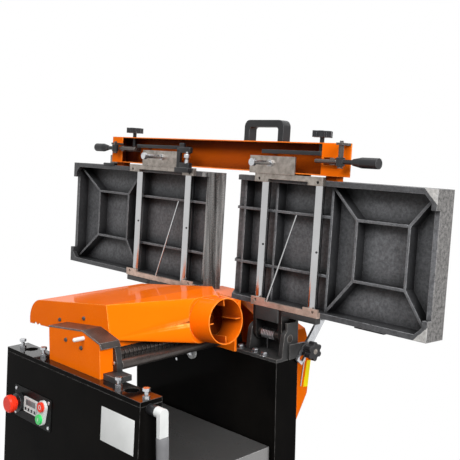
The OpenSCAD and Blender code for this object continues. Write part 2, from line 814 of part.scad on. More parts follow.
module lip_cut() {
  translate([cutter_x, table_d - cutter_r, rear_gap - 1]) cylinder(r = lip_r, h = table_w + 2, $fn = 96);
}
module outfeed_table() {
  bay = [outfeed_x0 + rim_t, shaft_x[0] - 14];
  u0 = rear_gap + rim_t / 2;
  u1 = table_u1 - rim_t / 2;
  color(iron) on_table() difference() {
    union() {
      casting(outfeed_x0, outfeed_x1, outfeed_x0);
      translate([outfeed_x1 - 27, rib_w, rear_gap]) cube([27, table_d - rib_w, table_w]);
      cross_ribs(bay, [bay[0] + 101, bay[1] - 56], box_u);
      rib([bay[1], u0], [bay[1], u1]);
      rib([shaft_x[1] - 24, u0], [shaft_x[1] - 24, u1]);
      for (u = box_u) rib([bay[1], u], [outfeed_x1 - 20, u]);
      corner_pads(outfeed_x0, 1);
    }
    lip_cut();
  }
}
module infeed_table() {
  bay = [shaft_x[3] + 26, infeed_x1 - rim_t];
  u0 = rear_gap + rim_t / 2;
  u1 = table_u1 - rim_t / 2;
  color(iron) on_table() difference() {
    union() {
      casting(infeed_x0, infeed_x1, infeed_x1 - rim_t);
      cross_ribs(bay, [bay[0] + 67, bay[1] - 56], box_u);
      for (x = [bay[0], infeed_x0 + 60, shaft_x[2] + 24]) rib([x, u0], [x, u1]);
      for (u = box_u) rib([infeed_x0 + 20, u], [bay[0], u]);
      corner_pads(infeed_x1, -1);
      translate([bay[1] - 168, 14, rear_gap - 6]) cube([74, 26, 8]);
    }
    lip_cut();
    translate([infeed_x0, 0, rear_gap - 1]) linear_extrude(table_w + 2)
      polygon([[-1, -1], [52, -1], [13, table_d - plate_t], [-1, table_d - plate_t]]);
  }
  color(iron) on_hinge() {
    along_x(lug_x, stay_x - face_gap) {
      translate(stay_pivot) circle(12);
      polygon([stay_pivot + [-6, -10], stay_pivot + [6, 10], [table_d - under_drop - 2, rear_gap + 4],
        [table_d - under_drop - 26, rear_gap + 4]]);
    }
    translate([0, stay_pivot[0], stay_pivot[1]]) rod_x(lug_x, stay_x + stay_t + 3, pivot_r);
  }
}
module table_shafts() {
  color(steel) on_table() for (x = shaft_x) translate([x, shaft_w, rear_gap + rim_t])
    cylinder(r = shaft_r, h = table_w - 2 * rim_t);
}
// Cross bar with a tab and a hole at each end; tab_u is where the tabs start along the tables
module bar(span, u, tab_u, tab_t) {
  difference() {
    union() {
      translate([span[0], -bar_d, u]) cube([span[1] - span[0], bar_d, bar_u]);
      for (x = [span[0], span[1] - bar_tab[0]]) translate([x, -bar_d, tab_u]) cube([bar_tab[0], tab_t, bar_tab[1]]);
    }
    for (x = [span[0] + 14, span[1] - 14]) translate([x, 0, max(u, tab_u)]) rod_y(-bar_d - 1, 1, 3.5);
  }
}
lock_base_u = front_bar_u + bar_u;
module front_bars() {
  color(iron) on_table() for (i = [0, 1]) {
    bar(bar_span[i], front_bar_u, front_bar_u - bar_tab[1], bar_d);
    for (x = [lock_span[i][0] + 14, lock_span[i][1] - 30])
      translate([x, -bar_d, lock_base_u]) cube([16, bar_d + channel_w[0], 40]);
  }
}
arm_t = 10;
arm_r = 16;
arm_x = [bracket_x[0] + 21 + cheek_t + face_gap, half_len - cheek_t - face_gap - arm_t];
module rear_bars() {
  back = under_drop + bar_d;
  color(bar_grey) for (i = [0, 1]) {
    on_table() bar(rear_bar_span[i], rear_gap, rear_gap + bar_u, bar_tab_t);
    on_hinge() mirror([1 - i, 0, 0]) for (x = arm_x) along_x(x, x + arm_t) difference() {
      union() {
        circle(arm_r);
        polygon([[-arm_r, 0], [arm_r - 4, 0], [arm_r - 8, rear_gap], [-back + 2, rear_gap]]);
      }
      circle(hinge_r + run_fit);
    }
  }
}
module strut(a, b, r) {
  d = b - a;
  translate(a) rotate([0, acos(d[2] / norm(d)), atan2(d[1], d[0])]) cylinder(r = r, h = norm(d));
}
module latch_wires() {
  r = 2;
  low = rear_gap + bar_u;
  top = box_u[1] - rib_t / 2;
  tip = 0.4;
  color(steel) on_table() for (e = [[-212, -170], [192, 240]])
    strut([e[0], -6, low + tip], [e[1], rib_w + 6, top - tip], r);
}
module lock_plates() {
  edge = 16;
  low = min(lock_base_u, lock_u - edge);
  top = max(lock_base_u, lock_u + edge);
  color(bar_grey) on_table() for (i = [0, 1]) difference() {
    translate([lock_span[i][0], -bar_d - lock_plate_t, low])
      cube([lock_span[i][1] - lock_span[i][0], lock_plate_t, top - low]);
    translate([lock_x[i], 0, lock_u]) rod_y(-bar_d - lock_plate_t - 1, -bar_d + 1, 5 + run_fit);
  }
}
module lock_pins() {
  pin_len = 64;
  face = -bar_d - lock_plate_t;
  color(steel) on_table() for (x = lock_x) translate([x, 0, lock_u]) {
    translate([0, face, 0]) rotate([90, 0, 0]) cylinder(d = 17, h = 7, $fn = 6);
    rod_y(face - pin_len, -bar_d, 5);
    rod_y(face - pin_len, face - pin_len + 8, 8.5);
  }
}

channel_x = [-427, 369];
channel_u = [table_u1 + 10, table_u1 + 80];
channel_w = [-8, 37];
channel_t = 2.5;
end_plate_x = [[channel_x[0], channel_x[0] + 46], [channel_x[1] - 41, channel_x[1] + 36]];
channel_foot_x = [-424, -250, 240, 330];
knob_x = [-357, 308];
knob_d = 46;
knob_w = 12;
stem_r = 5;
module channel() {
  color(orange) on_table() difference() {
    union() {
      difference() {
        block(channel_x[0], channel_x[1], channel_w[0], channel_w[1], channel_u[0], channel_u[1]);
        block(channel_x[0] - 1, channel_x[1] + 1, channel_w[0] - 1, channel_w[1] - channel_t,
          channel_u[0] + channel_t, channel_u[1] - channel_t);
      }
      for (x = end_plate_x) block(x[0], x[1], channel_w[0] - channel_t, channel_w[0], channel_u[0], channel_u[1]);
      block(channel_x[0], channel_x[0] + channel_t, channel_w[0], channel_w[1], channel_u[0], channel_u[1]);
      for (x = channel_foot_x) block(x, x + 30, 6, 28, table_u1, channel_u[0]);
    }
    for (x = knob_x) translate([x, knob_w, channel_u[1] - channel_t - 1])
      cylinder(r = stem_r + run_fit, h = channel_t + 2);
    block(hub_x[1] - 62, hub_x[1] - 36, channel_w[0] - channel_t - 1, channel_w[0] + 1, hub_u[1] - 8, hub_u[1] + 8);
  }
}
module bridge_handle() {
  w = 122;
  h = 48;
  t = 16;
  r = 16;
  x0 = 88;
  color(plastic) on_table() translate([x0, channel_w[0] + 26, channel_u[1]]) rotate([90, 0, 0])
    linear_extrude(24) difference() {
      union() {
        for (x = [r, w - r]) translate([x, h - r]) circle(r);
        translate([r, 0]) square([w - 2 * r, h]);
        square([w, h - r]);
      }
      translate([t, -r]) rounded(w - 2 * t, h - t + r, 7);
    }
}
hub_x = [channel_x[0] + 43, channel_x[1] + 27];
hub_w = -32;
hub_u = [table_u1 + 48, table_u1 + 41];
hub_r = 9;
hub_h = 18;
hub_pin_r = 4;
module lever_linkage() {
  lug = 5;
  collar = 4;
  rod_r = 4.5;
  face = channel_w[0] - channel_t;
  color(iron) on_table() for (i = [0, 1]) {
    low = hub_u[i] - hub_h / 2 - face_gap;
    top = hub_u[i] + hub_h / 2 + face_gap;
    lug_u = i == 0 ? top : channel_u[1] - lug;
    translate([hub_x[i] - 8, hub_w - 8, lug_u]) cube([16, face - hub_w + 8, lug]);
    translate([hub_x[i], hub_w, top]) cylinder(r = hub_pin_r + 1.5, h = lug_u - top + lug);
    translate([hub_x[i], hub_w, low - collar]) {
      cylinder(r = hub_pin_r + 2, h = collar);
      cylinder(r = hub_pin_r, h = lug_u + lug + 4 - low + collar);
    }
    inner = i == 0 ? [hub_x[0] + 14, hub_x[0] + 82] : [hub_x[1] - 70, hub_x[1] - 14];
    translate([0, hub_w + 6, hub_u[i]]) rod_x(inner[0], inner[1], rod_r);
    seat = i == 0 ? channel_w[1] - channel_t : face;
    post = i == 0 ? inner[0] + 4 : inner[1] - 18;
    block(post, post + 12, hub_w + 6, seat, hub_u[i] - 7, hub_u[i] + 7);
  }
}
module lever(rod_len, grip_len) {
  difference() {
    union() {
      translate([0, 0, -hub_h / 2]) cylinder(r = hub_r, h = hub_h);
      rod_x(0, rod_len, 5);
      translate([rod_len, 0, 0]) rotate([0, 90, 0]) {
        cylinder(r1 = 7, r2 = 11, h = grip_len * 0.35);
        translate([0, 0, grip_len * 0.35]) cylinder(r = 11, h = grip_len * 0.65);
      }
    }
    translate([0, 0, -hub_h]) cylinder(r = hub_pin_r + run_fit, h = 2 * hub_h);
  }
}
module left_lever() {
  color(plastic) on_table() translate([hub_x[0], hub_w, hub_u[0]]) mirror([1, 0, 0]) lever(34, 52);
}
module right_lever() {
  color(plastic) on_table() translate([hub_x[1], hub_w, hub_u[1]]) lever(33, 62);
}
module channel_knob(x) {
  color(plastic) on_table() translate([x, knob_w, channel_u[1]]) {
    translate([0, 0, -24]) cylinder(r = stem_r, h = 36);
    translate([0, 0, 12]) star_knob(knob_d, 14);
  }
}
module left_knob() {
  channel_knob(knob_x[0]);
}
module right_knob() {
  channel_knob(knob_x[1]);
}
module stay_arm() {
  pivot = [hinge_y + stay_pivot[0] * cos(table_lean) + stay_pivot[1] * sin(table_lean),
    hinge_z - stay_pivot[0] * sin(table_lean) + stay_pivot[1] * cos(table_lean)];
  d = [stay_y, stay_z] - pivot;
  reach = norm(d);
  wide = 22;
  slot = 24;
  slot_r = stud_r + 1.5;
  color(steel) along_x(stay_x, stay_x + stay_t) translate(pivot) rotate(atan2(d[1], d[0])) difference() {
    union() {
      circle(d = wide);
      translate([0, -wide / 2]) square([reach + slot + 12, wide]);
    }
    circle(pivot_r + run_fit);
    translate([reach, 0]) circle(slot_r);
    translate([reach, -slot_r]) square([slot, 2 * slot_r]);
    translate([reach + slot, 0]) circle(slot_r);
  }
}
module stay_knob() {
  x = stay_x + stay_t + face_gap;
  color(plastic) translate([x, stay_y, stay_z]) rotate([0, 90, 0]) difference() {
    union() {
      cylinder(r = 13, h = 10);
      translate([0, 0, 10]) star_knob(44, 16);
    }
    translate([0, 0, -1]) cylinder(r = stud_r + run_fit, h = 22);
  }
}

base_plate();
front_column();
front_cap();
rear_column();
lower_cabinet();
control_plate();
display();
estop_collar();
estop_button();
switch_housing();
start_button();
stop_button();
support_screws();
front_cheek();
front_cover();
bearing_strap();
cover_pin();
rear_cheek();
rear_cover();
cutterblock();
cutter_knives();
cutter_bearings();
infeed_roller();
outfeed_roller();
cross_bar();
finger_shaft();
kickback_fingers();
hood_shell();
hood_outlet();
thickness_bed();
lift_tube();
lift_post();
motor();
motor_pulley();
cutter_pulley();
drive_belt();
belt_guard();
feed_boss();
feed_lever();
hinge_brackets();
hinge_shafts();
hinge_springs();
guide_disc();
outfeed_table();
infeed_table();
table_shafts();
front_bars();
rear_bars();
latch_wires();
lock_plates();
lock_pins();
channel();
bridge_handle();
lever_linkage();
left_lever();
right_lever();
left_knob();
right_knob();
stay_arm();
stay_knob();
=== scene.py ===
"""Combination planer thicknesser with its planing tables folded up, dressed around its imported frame."""

import json
import math

import bmesh
import bpy
from mathutils import Matrix, Vector


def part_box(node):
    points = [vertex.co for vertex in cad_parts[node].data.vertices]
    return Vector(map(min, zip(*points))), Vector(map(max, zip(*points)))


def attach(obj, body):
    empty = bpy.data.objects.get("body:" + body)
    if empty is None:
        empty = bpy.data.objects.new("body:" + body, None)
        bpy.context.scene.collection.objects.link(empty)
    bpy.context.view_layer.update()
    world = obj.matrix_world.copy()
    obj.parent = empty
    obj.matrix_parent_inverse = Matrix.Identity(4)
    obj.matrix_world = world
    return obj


bl_info = {
    "name": "Combination planer thicknesser",
    "version": (1, 0, 0),
    "blender": (4, 5, 0),
    "location": "3D View > Sidebar > Planer",
    "description": "Finishes, fittings and stage of a combination planer thicknesser",
    "category": "Object",
}

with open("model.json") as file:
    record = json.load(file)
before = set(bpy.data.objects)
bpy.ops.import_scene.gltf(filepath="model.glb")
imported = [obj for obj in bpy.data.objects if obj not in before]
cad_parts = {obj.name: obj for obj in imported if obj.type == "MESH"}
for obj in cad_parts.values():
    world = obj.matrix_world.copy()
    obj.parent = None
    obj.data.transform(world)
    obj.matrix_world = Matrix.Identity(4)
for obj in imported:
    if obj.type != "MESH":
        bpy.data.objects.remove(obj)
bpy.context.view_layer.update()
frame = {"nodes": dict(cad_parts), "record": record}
MM = 0.001

# Frames of the CAD source, in millimetres: the folded tables and the leaning front panel
TABLE_LEAN = math.radians(3.7)
HINGE_Y, HINGE_Z, UNDER_DROP = 197.0, 798.0, 12.0
FRONT_Y, PANEL_LEAN, COLUMN_TOP = -224.5, 46.0, 750.0
PANEL_TILT = math.atan(PANEL_LEAN / COLUMN_TOP)
TABLE_IN = Vector((0, math.cos(TABLE_LEAN), -math.sin(TABLE_LEAN)))
TABLE_UP = Vector((0, math.sin(TABLE_LEAN), math.cos(TABLE_LEAN)))
PANEL_OUT = Vector((0, -math.cos(PANEL_TILT), math.sin(PANEL_TILT)))
PANEL_UP = Vector((0, math.sin(PANEL_TILT), math.cos(PANEL_TILT)))
ALONG = Vector((1, 0, 0))


def on_table(x, depth, up):
    """Point of the folded tables: along them, into the casting, up from the hinge axis."""
    hinge = Vector((x, HINGE_Y, HINGE_Z))
    return (hinge + (depth - UNDER_DROP) * TABLE_IN + up * TABLE_UP) * MM


def on_panel(x, z, out=0.0):
    """Point of the front panel at a height above the floor, and out of it."""
    y = FRONT_Y - PANEL_LEAN * (COLUMN_TOP - z) / COLUMN_TOP
    return (Vector((x, y, z)) + out * PANEL_OUT) * MM


# Shader tools

# Edge marks: cosine from the true to the rounded normal, spread of the patches; the marks are rubbed paint and
# painted edge highlights
EDGE_TURN, EDGE_MARK_PATCHES = (0.995, 0.88), (0.30, 0.56)
# Mottle: spread of the drift; grain: shares and scale of the two noises
MOTTLE_SPREAD = (0.35, 0.68)
FINE_SHARE, BROAD_SHARE, BROAD_SCALE = 0.55, 0.45, 9.0
# Crease: open share of the sky where the painted shade in corners starts and where it is full
OPEN_SHARE = (0.95, 0.35)
# Finish: coat roughness, spread of the gloss, tilt of an upward face and how much rougher it is
COAT_ROUGHNESS, GLOSS_SPREAD = 0.06, (0.3, 0.7)
UPWARD_TILT, UPWARD_DULLING = (0.8, 0.95), 0.4
# Mask of the painted corner shade between which the rubbed and highlighted edges fade out, and the black of the
# hinge arms
EDGE_MARK_SHADE_FADE, ARM_BLACK = (0.12, 0.40), (0.02, 0.019, 0.019, 1)


class Graph:
    """Adds nodes to one node tree and links them by socket name."""

    def __init__(self, tree):
        self.tree = tree
        self.tree.nodes.clear()
        self.count = 0

    def add(self, kind, inputs=None, **settings):
        node = self.tree.nodes.new(kind)
        node.location = (200 * (self.count % 12), -260 * (self.count // 12))
        self.count += 1
        for key, value in settings.items():
            setattr(node, key, value)
        for key, value in (inputs or {}).items():
            self.feed(node.inputs[key], value)
        return node

    def feed(self, socket, value):
        if isinstance(value, bpy.types.NodeSocket):
            self.tree.links.new(value, socket)
        else:
            socket.default_value = value

    def math(self, operation, first, second=0.0, clamp=False):
        node = self.add("ShaderNodeMath", {0: first, 1: second}, operation=operation, use_clamp=clamp)
        return node.outputs[0]

    def mix(self, factor, first, second):
        node = self.add("ShaderNodeMix", data_type="RGBA")
        self.feed(node.inputs["Factor"], factor)
        self.feed(node.inputs[6], first)
        self.feed(node.inputs[7], second)
        return node.outputs[2]

    def spread(self, value, low, high, to_low=0.0, to_high=1.0):
        node = self.add(
            "ShaderNodeMapRange",
            {"Value": value, "From Min": low, "From Max": high, "To Min": to_low, "To Max": to_high},
        )
        return node.outputs[0]

    def vector(self, operation, first, second):
        return self.add("ShaderNodeVectorMath", {0: first, 1: second}, operation=operation).outputs[0]

    def dot(self, first, second):
        node = self.add("ShaderNodeVectorMath", {0: first, 1: second}, operation="DOT_PRODUCT")
        return node.outputs["Value"]

    def length(self, value):
        return self.add("ShaderNodeVectorMath", {0: value}, operation="LENGTH").outputs["Value"]

    def noise(self, place, scale, detail, roughness):
        inputs = {"Vector": place, "Scale": scale, "Detail": detail, "Roughness": roughness}
        return self.add("ShaderNodeTexNoise", inputs).outputs[0]

    def place(self):
        return self.add("ShaderNodeTexCoord").outputs["Object"]

    def normal(self):
        return self.add("ShaderNodeNewGeometry").outputs["Normal"]


def shader_group(name, inputs, outputs):
    """Empty shader group with named sockets; gives its graph, its input node and its output node."""
    tree = bpy.data.node_groups.new(name, "ShaderNodeTree")
    for label, kind, value in inputs:
        socket = tree.interface.new_socket(label, in_out="INPUT", socket_type="NodeSocket" + kind)
        socket.default_value = value
    for label, kind in outputs:
        tree.interface.new_socket(label, in_out="OUTPUT", socket_type="NodeSocket" + kind)
    graph = Graph(tree)
    return graph, graph.add("NodeGroupInput").outputs, graph.add("NodeGroupOutput").inputs


def make_edge_wear_and_highlight():
    """Rounded edges: their normal, and a mask of where they are rubbed and carry a painted highlight, broken up
    by noise.
    """
    graph, given, out = shader_group(
        "Edge wear",
        [("Radius", "Float", 0.002), ("Patch Scale", "Float", 60.0), ("Amount", "Float", 1.0)],
        [("Mask", "Float"), ("Normal", "Vector")],
    )
    rounded = graph.add("ShaderNodeBevel", {"Radius": given["Radius"]}, samples=4)
    edge = graph.spread(graph.dot(rounded.outputs[0], graph.normal()), *EDGE_TURN)
    patch = graph.noise(graph.place(), given["Patch Scale"], 4.0, 0.7)
    broken = graph.math("MULTIPLY", edge, graph.spread(patch, *EDGE_MARK_PATCHES))
    graph.feed(out["Mask"], graph.math("MULTIPLY", broken, given["Amount"], True))
    graph.feed(out["Normal"], rounded.outputs[0])
    return graph.tree


def make_mottle():
    """Slow drift of colour over a surface."""
    graph, given, out = shader_group(
        "Mottle",
        [
            ("Color", "Color", (1, 1, 1, 1)),
            ("Tint", "Color", (0, 0, 0, 1)),
            ("Scale", "Float", 12.0),
            ("Amount", "Float", 0.3),
        ],
        [("Color", "Color")],
    )
    drift = graph.spread(graph.noise(graph.place(), given["Scale"], 6.0, 0.6), *MOTTLE_SPREAD)
    share = graph.math("MULTIPLY", drift, given["Amount"], True)
    graph.feed(out["Color"], graph.mix(share, given["Color"], given["Tint"]))
    return graph.tree


def make_grain():
    """Fine surface grain, as height and as a variation for the gloss."""
    graph, given, out = shader_group(
        "Grain",
        [("Scale", "Float", 400.0), ("Stretch", "Vector", (1, 1, 1))],
        [("Height", "Float"), ("Variation", "Float")],
    )
    place = graph.place()
    fine = graph.noise(graph.vector("MULTIPLY", place, given["Stretch"]), given["Scale"], 3.0, 0.55)
    broad = graph.noise(place, BROAD_SCALE, 5.0, 0.62)
    shares = graph.math("MULTIPLY", fine, FINE_SHARE), graph.math("MULTIPLY", broad, BROAD_SHARE)
    graph.feed(out["Height"], fine)
    graph.feed(out["Variation"], graph.math("ADD", *shares))
    return graph.tree


def make_crease_shade():
    """Mask of painted shade in a piece's own corners, darker where less of the sky is open."""
    graph, given, out = shader_group(
        "Crease", [("Reach", "Float", 0.03), ("Amount", "Float", 0.8)], [("Mask", "Float")]
    )
    sky = graph.add("ShaderNodeAmbientOcclusion", {"Distance": given["Reach"]}, samples=6, only_local=True)
    crease_shade = graph.spread(sky.outputs["AO"], *OPEN_SHARE)
    graph.feed(out["Mask"], graph.math("MULTIPLY", crease_shade, given["Amount"], True))
    return graph.tree


def make_zone():
    """Mask that is one between two places along an axis."""
    graph, given, out = shader_group(
        "Zone",
        [("Place", "Float", 0.0), ("Low", "Float", 0.0), ("High", "Float", 1.0)],
        [("Mask", "Float")],
    )
    above = graph.math("GREATER_THAN", given["Place"], given["Low"])
    below = graph.math("LESS_THAN", given["Place"], given["High"])
    graph.feed(out["Mask"], graph.math("MULTIPLY", above, below))
    return graph.tree


GROUP_MAKERS = {
    "wear_and_highlight": make_edge_wear_and_highlight, "mottle": make_mottle, "grain": make_grain, "crease": make_crease_shade,
    "zone": make_zone,
}
GROUPS = {}


def group(graph, name, inputs):
    """Node of a shared shader group, made on first use; gives its outputs."""
    if name not in GROUPS:
        GROUPS[name] = GROUP_MAKERS[name]()
    node = graph.add("ShaderNodeGroup")
    node.node_tree = GROUPS[name]
    for key, value in inputs.items():
        graph.feed(node.inputs[key], value)
    return node.outputs


# Finishes, with linear colours. mottle is scale and amount towards tint; grain is scale, bump in mm and gloss
# drift; stretch draws the grain out; the edge marks are the colour of rubbed edges and painted edge highlights,
# edge radius in mm and amount; crease is the colour of painted shade in corners, its reach in mm and amount;
# top_coat is gloss on upward faces; dark_below is a height on the tables in mm
FINISHES = {
    "gloss_black": {
        "rough": 0.18, "spec": 0.012, "top_coat": 1.0, "tint": (0.0075, 0.0066, 0.0058), "mottle": (5.0, 0.7),
        "grain": (260.0, 0.012, 0.10), "wear_and_highlight": ((0.15, 0.145, 0.14), 2.2, 0.7),
    },
    "panel_black": {
        "rough": 0.30, "spec": 0.06, "tint": (0.012, 0.012, 0.012), "mottle": (30.0, 0.5),
        "grain": (900.0, 0.02, 0.12), "wear_and_highlight": ((0.06, 0.06, 0.06), 0.8, 0.3),
    },
    "orange": {
        "rough": 0.25, "spec": 0.02, "top_coat": 0.42, "tint": (0.76, 0.108, 0.0015), "mottle": (4.0, 0.45),
        "grain": (330.0, 0.016, 0.10), "wear_and_highlight": ((1.0, 0.46, 0.12), 2.4, 0.75),
        "crease": ((0.16, 0.018, 0.004), 70.0, 0.85),
    },
    "charcoal_iron": {
        "rough": 0.44, "spec": 0.24, "tint": (0.026, 0.026, 0.027), "mottle": (28.0, 0.3),
        "grain": (620.0, 0.16, 0.22), "wear_and_highlight": ((0.34, 0.34, 0.35), 2.4, 0.8),
        "crease": ((0.004, 0.004, 0.0045), 36.0, 0.95),
    },
    "ground_steel": {
        "rough": 0.15, "metal": 1.0, "tint": (0.34, 0.34, 0.345), "mottle": (7.0, 0.4),
        "grain": (500.0, 0.001, 0.05), "stretch": (1, 1, 0.1), "wear_and_highlight": ((0.9, 0.9, 0.9), 0.8, 0.3),
    },
    "warm_steel": {
        "rough": 0.36, "metal": 0.8, "tint": (0.13, 0.112, 0.096), "mottle": (60.0, 0.75),
        "grain": (420.0, 0.05, 0.20), "wear_and_highlight": ((0.60, 0.56, 0.52), 1.0, 0.7),
    },
    "worn_bar": {
        "rough": 0.40, "metal": 0.6, "tint": (0.26, 0.19, 0.155), "mottle": (50.0, 0.75), "dark_below": 63.0,
        "grain": (420.0, 0.05, 0.20), "wear_and_highlight": ((0.52, 0.46, 0.42), 1.0, 0.7),
    },
    "black_iron": {
        "rough": 0.46, "spec": 0.35, "tint": (0.012, 0.012, 0.012), "mottle": (25.0, 0.7),
        "grain": (620.0, 0.12, 0.20), "wear_and_highlight": ((0.30, 0.285, 0.27), 2.0, 0.8),
        "crease": ((0.003, 0.003, 0.003), 25.0, 0.9),
    },
    "zinc": {
        "rough": 0.27, "metal": 1.0, "tint": (0.36, 0.37, 0.385), "mottle": (80.0, 0.5),
        "grain": (700.0, 0.02, 0.15), "wear_and_highlight": ((0.9, 0.9, 0.92), 0.6, 0.4),
        "crease": ((0.02, 0.02, 0.02), 6.0, 0.95),
    },
    "black_plastic": {
        "rough": 0.34, "spec": 0.3, "tint": (0.020, 0.020, 0.022), "mottle": (40.0, 0.4),
        "grain": (1100.0, 0.05, 0.12), "wear_and_highlight": ((0.17, 0.17, 0.175), 1.8, 0.7),
    },
    "grey_plastic": {
        "rough": 0.38, "spec": 0.35, "tint": (0.10, 0.10, 0.105), "mottle": (30.0, 0.4),
        "grain": (900.0, 0.04, 0.10), "wear_and_highlight": ((0.24, 0.24, 0.25), 1.0, 0.4),
    },
    "pale_plastic": {
        "rough": 0.36, "tint": (0.46, 0.47, 0.46), "mottle": (20.0, 0.4), "grain": (900.0, 0.02, 0.10),
        "wear_and_highlight": ((0.85, 0.85, 0.85), 0.8, 0.3),
    },
    "yellow_film": {
        "rough": 0.40, "spec": 0.15, "tint": (0.90, 0.70, 0.003), "mottle": (60.0, 0.35),
        "grain": (700.0, 0.01, 0.08),
    },
    "red_plastic": {
        "rough": 0.32, "spec": 0.2, "tint": (0.52, 0.010, 0.004), "mottle": (30.0, 0.4),
        "grain": (800.0, 0.015, 0.08), "wear_and_highlight": ((0.95, 0.14, 0.08), 0.9, 0.4),
    },
    "green_plastic": {
        "rough": 0.27, "coat": 0.2, "tint": (0.01, 0.36, 0.06), "mottle": (30.0, 0.4),
        "grain": (800.0, 0.015, 0.08), "wear_and_highlight": ((0.2, 0.75, 0.35), 0.9, 0.4),
    },
    "bed_steel": {
        "rough": 0.30, "metal": 0.8, "tint": (0.19, 0.186, 0.184), "mottle": (9.0, 0.5),
        "grain": (1500.0, 0.002, 0.06), "stretch": (0.02, 1, 1), "wear_and_highlight": ((0.82, 0.82, 0.82), 2.0, 0.9),
    },
    "belt_rubber": {
        "rough": 0.75, "tint": (0.03, 0.03, 0.03), "mottle": (60.0, 0.5), "grain": (800.0, 0.08, 0.1),
    },
    "bar_black": {
        "rough": 0.32, "metal": 0.7, "tint": (0.045, 0.039, 0.036), "mottle": (35.0, 0.7),
        "grain": (600.0, 0.03, 0.16), "wear_and_highlight": ((0.50, 0.47, 0.45), 2.0, 0.8),
        "crease": ((0.006, 0.006, 0.006), 12.0, 0.8),
    },
}
# Painted shade: a darker orange with deeper corner shade for the channel's recessed web
FINISHES["shaded_channel_orange"] = {**FINISHES["orange"], "crease": ((0.07, 0.010, 0.004), 110.0, 1.0)}
# Bare places of the castings along X in metres: the two end faces and the machined lips
BARE_ENDS = ((0.6055, 0.62), (-0.70, -0.6315))
LIPS = ((-0.0585, -0.030), (0.020, 0.036))
# Corner pads: the infeed end and the two edges in mm, then the size and the ragged rim in metres
PAD_CORNER, PAD_SIZE, PAD_RAGGED = (607.0, 64.0, 360.0), 0.036, 0.012
# Depths into the castings in mm: the rims that face front, and the planing faces
RIM_DEPTH, PLANING_DEPTH = 1.5, 59.6
# Noises of the castings: scale, detail and roughness, and how the last two are drawn out
SPECK, STREAK, LINES = (140.0, 7.0, 0.76), (150.0, 4.0, 0.6), (700.0, 3.0, 0.6)
STREAK_DRAW, LINES_DRAW = (1.0, 1.0, 0.03), (0.015, 1.0, 1.0)
# Tones: spread of the noise, dark colour, light colour
RAW_IRON = (0.36, 0.66), (0.030, 0.029, 0.028, 1), (0.235, 0.226, 0.220, 1)
WORN_PAD = (0.3, 0.7), (0.20, 0.195, 0.19, 1), (0.52, 0.51, 0.49, 1)
CUT_LIP = (0.36, 0.62), (0.075, 0.072, 0.07, 1), (0.30, 0.292, 0.285, 1)
PLANED = (0.3, 0.7), (0.29, 0.287, 0.282, 1), (0.42, 0.416, 0.41, 1)
# Darkening: spread of what it follows, amount, colour; the first follows the cast speck, the second is painted
# shade on the rib walls
SAND = (0.60, 0.40), 0.55, (0.016, 0.016, 0.017, 1)
WALL_SHADE = (0.6, 0.3), 0.75, (0.006, 0.006, 0.0065, 1)
RIM_SHARE, RIM_PAINT = 0.5, (0.020, 0.020, 0.021, 1)
# Polish and metal of the machined places
PLANED_POLISH, LIP_POLISH, BARE_METAL = 0.12, 0.2, 0.8
# Dust outlet: middle of its seam in metres, its direction, and the radius around it
SEAM, OUTLET_AXIS, DUCT_RADIUS = (0.1268, 0.06, 0.842), (0.995396, 0.0, 0.095846), 0.08
# Painted shade inside the duct: how far faces look inwards, where it fades along the outlet in metres, amount
# and colour
DUCT_SHADE_FACING, DUCT_SHADE_FADE, DUCT_SHADE_AMOUNT, DUCT_SHADE = -0.02, (0.045, 0.0), 0.93, (0.03, 0.008, 0.002, 1)
# Pieces that take another finish than their slot
OWN_FINISH = {
    "hinge_shafts": "bar_black", "rear_bars": "worn_bar", "front_cheek": "black_iron",
    "latch_wires": "ground_steel", "hinge_brackets": "black_iron", "base_plate": "panel_black",
    "channel": "shaded_channel_orange",
}


def colour_of(name):
    """Colour of a finish from the settings."""
    return (*getattr(bpy.context.scene.planer_colours, name), 1.0)


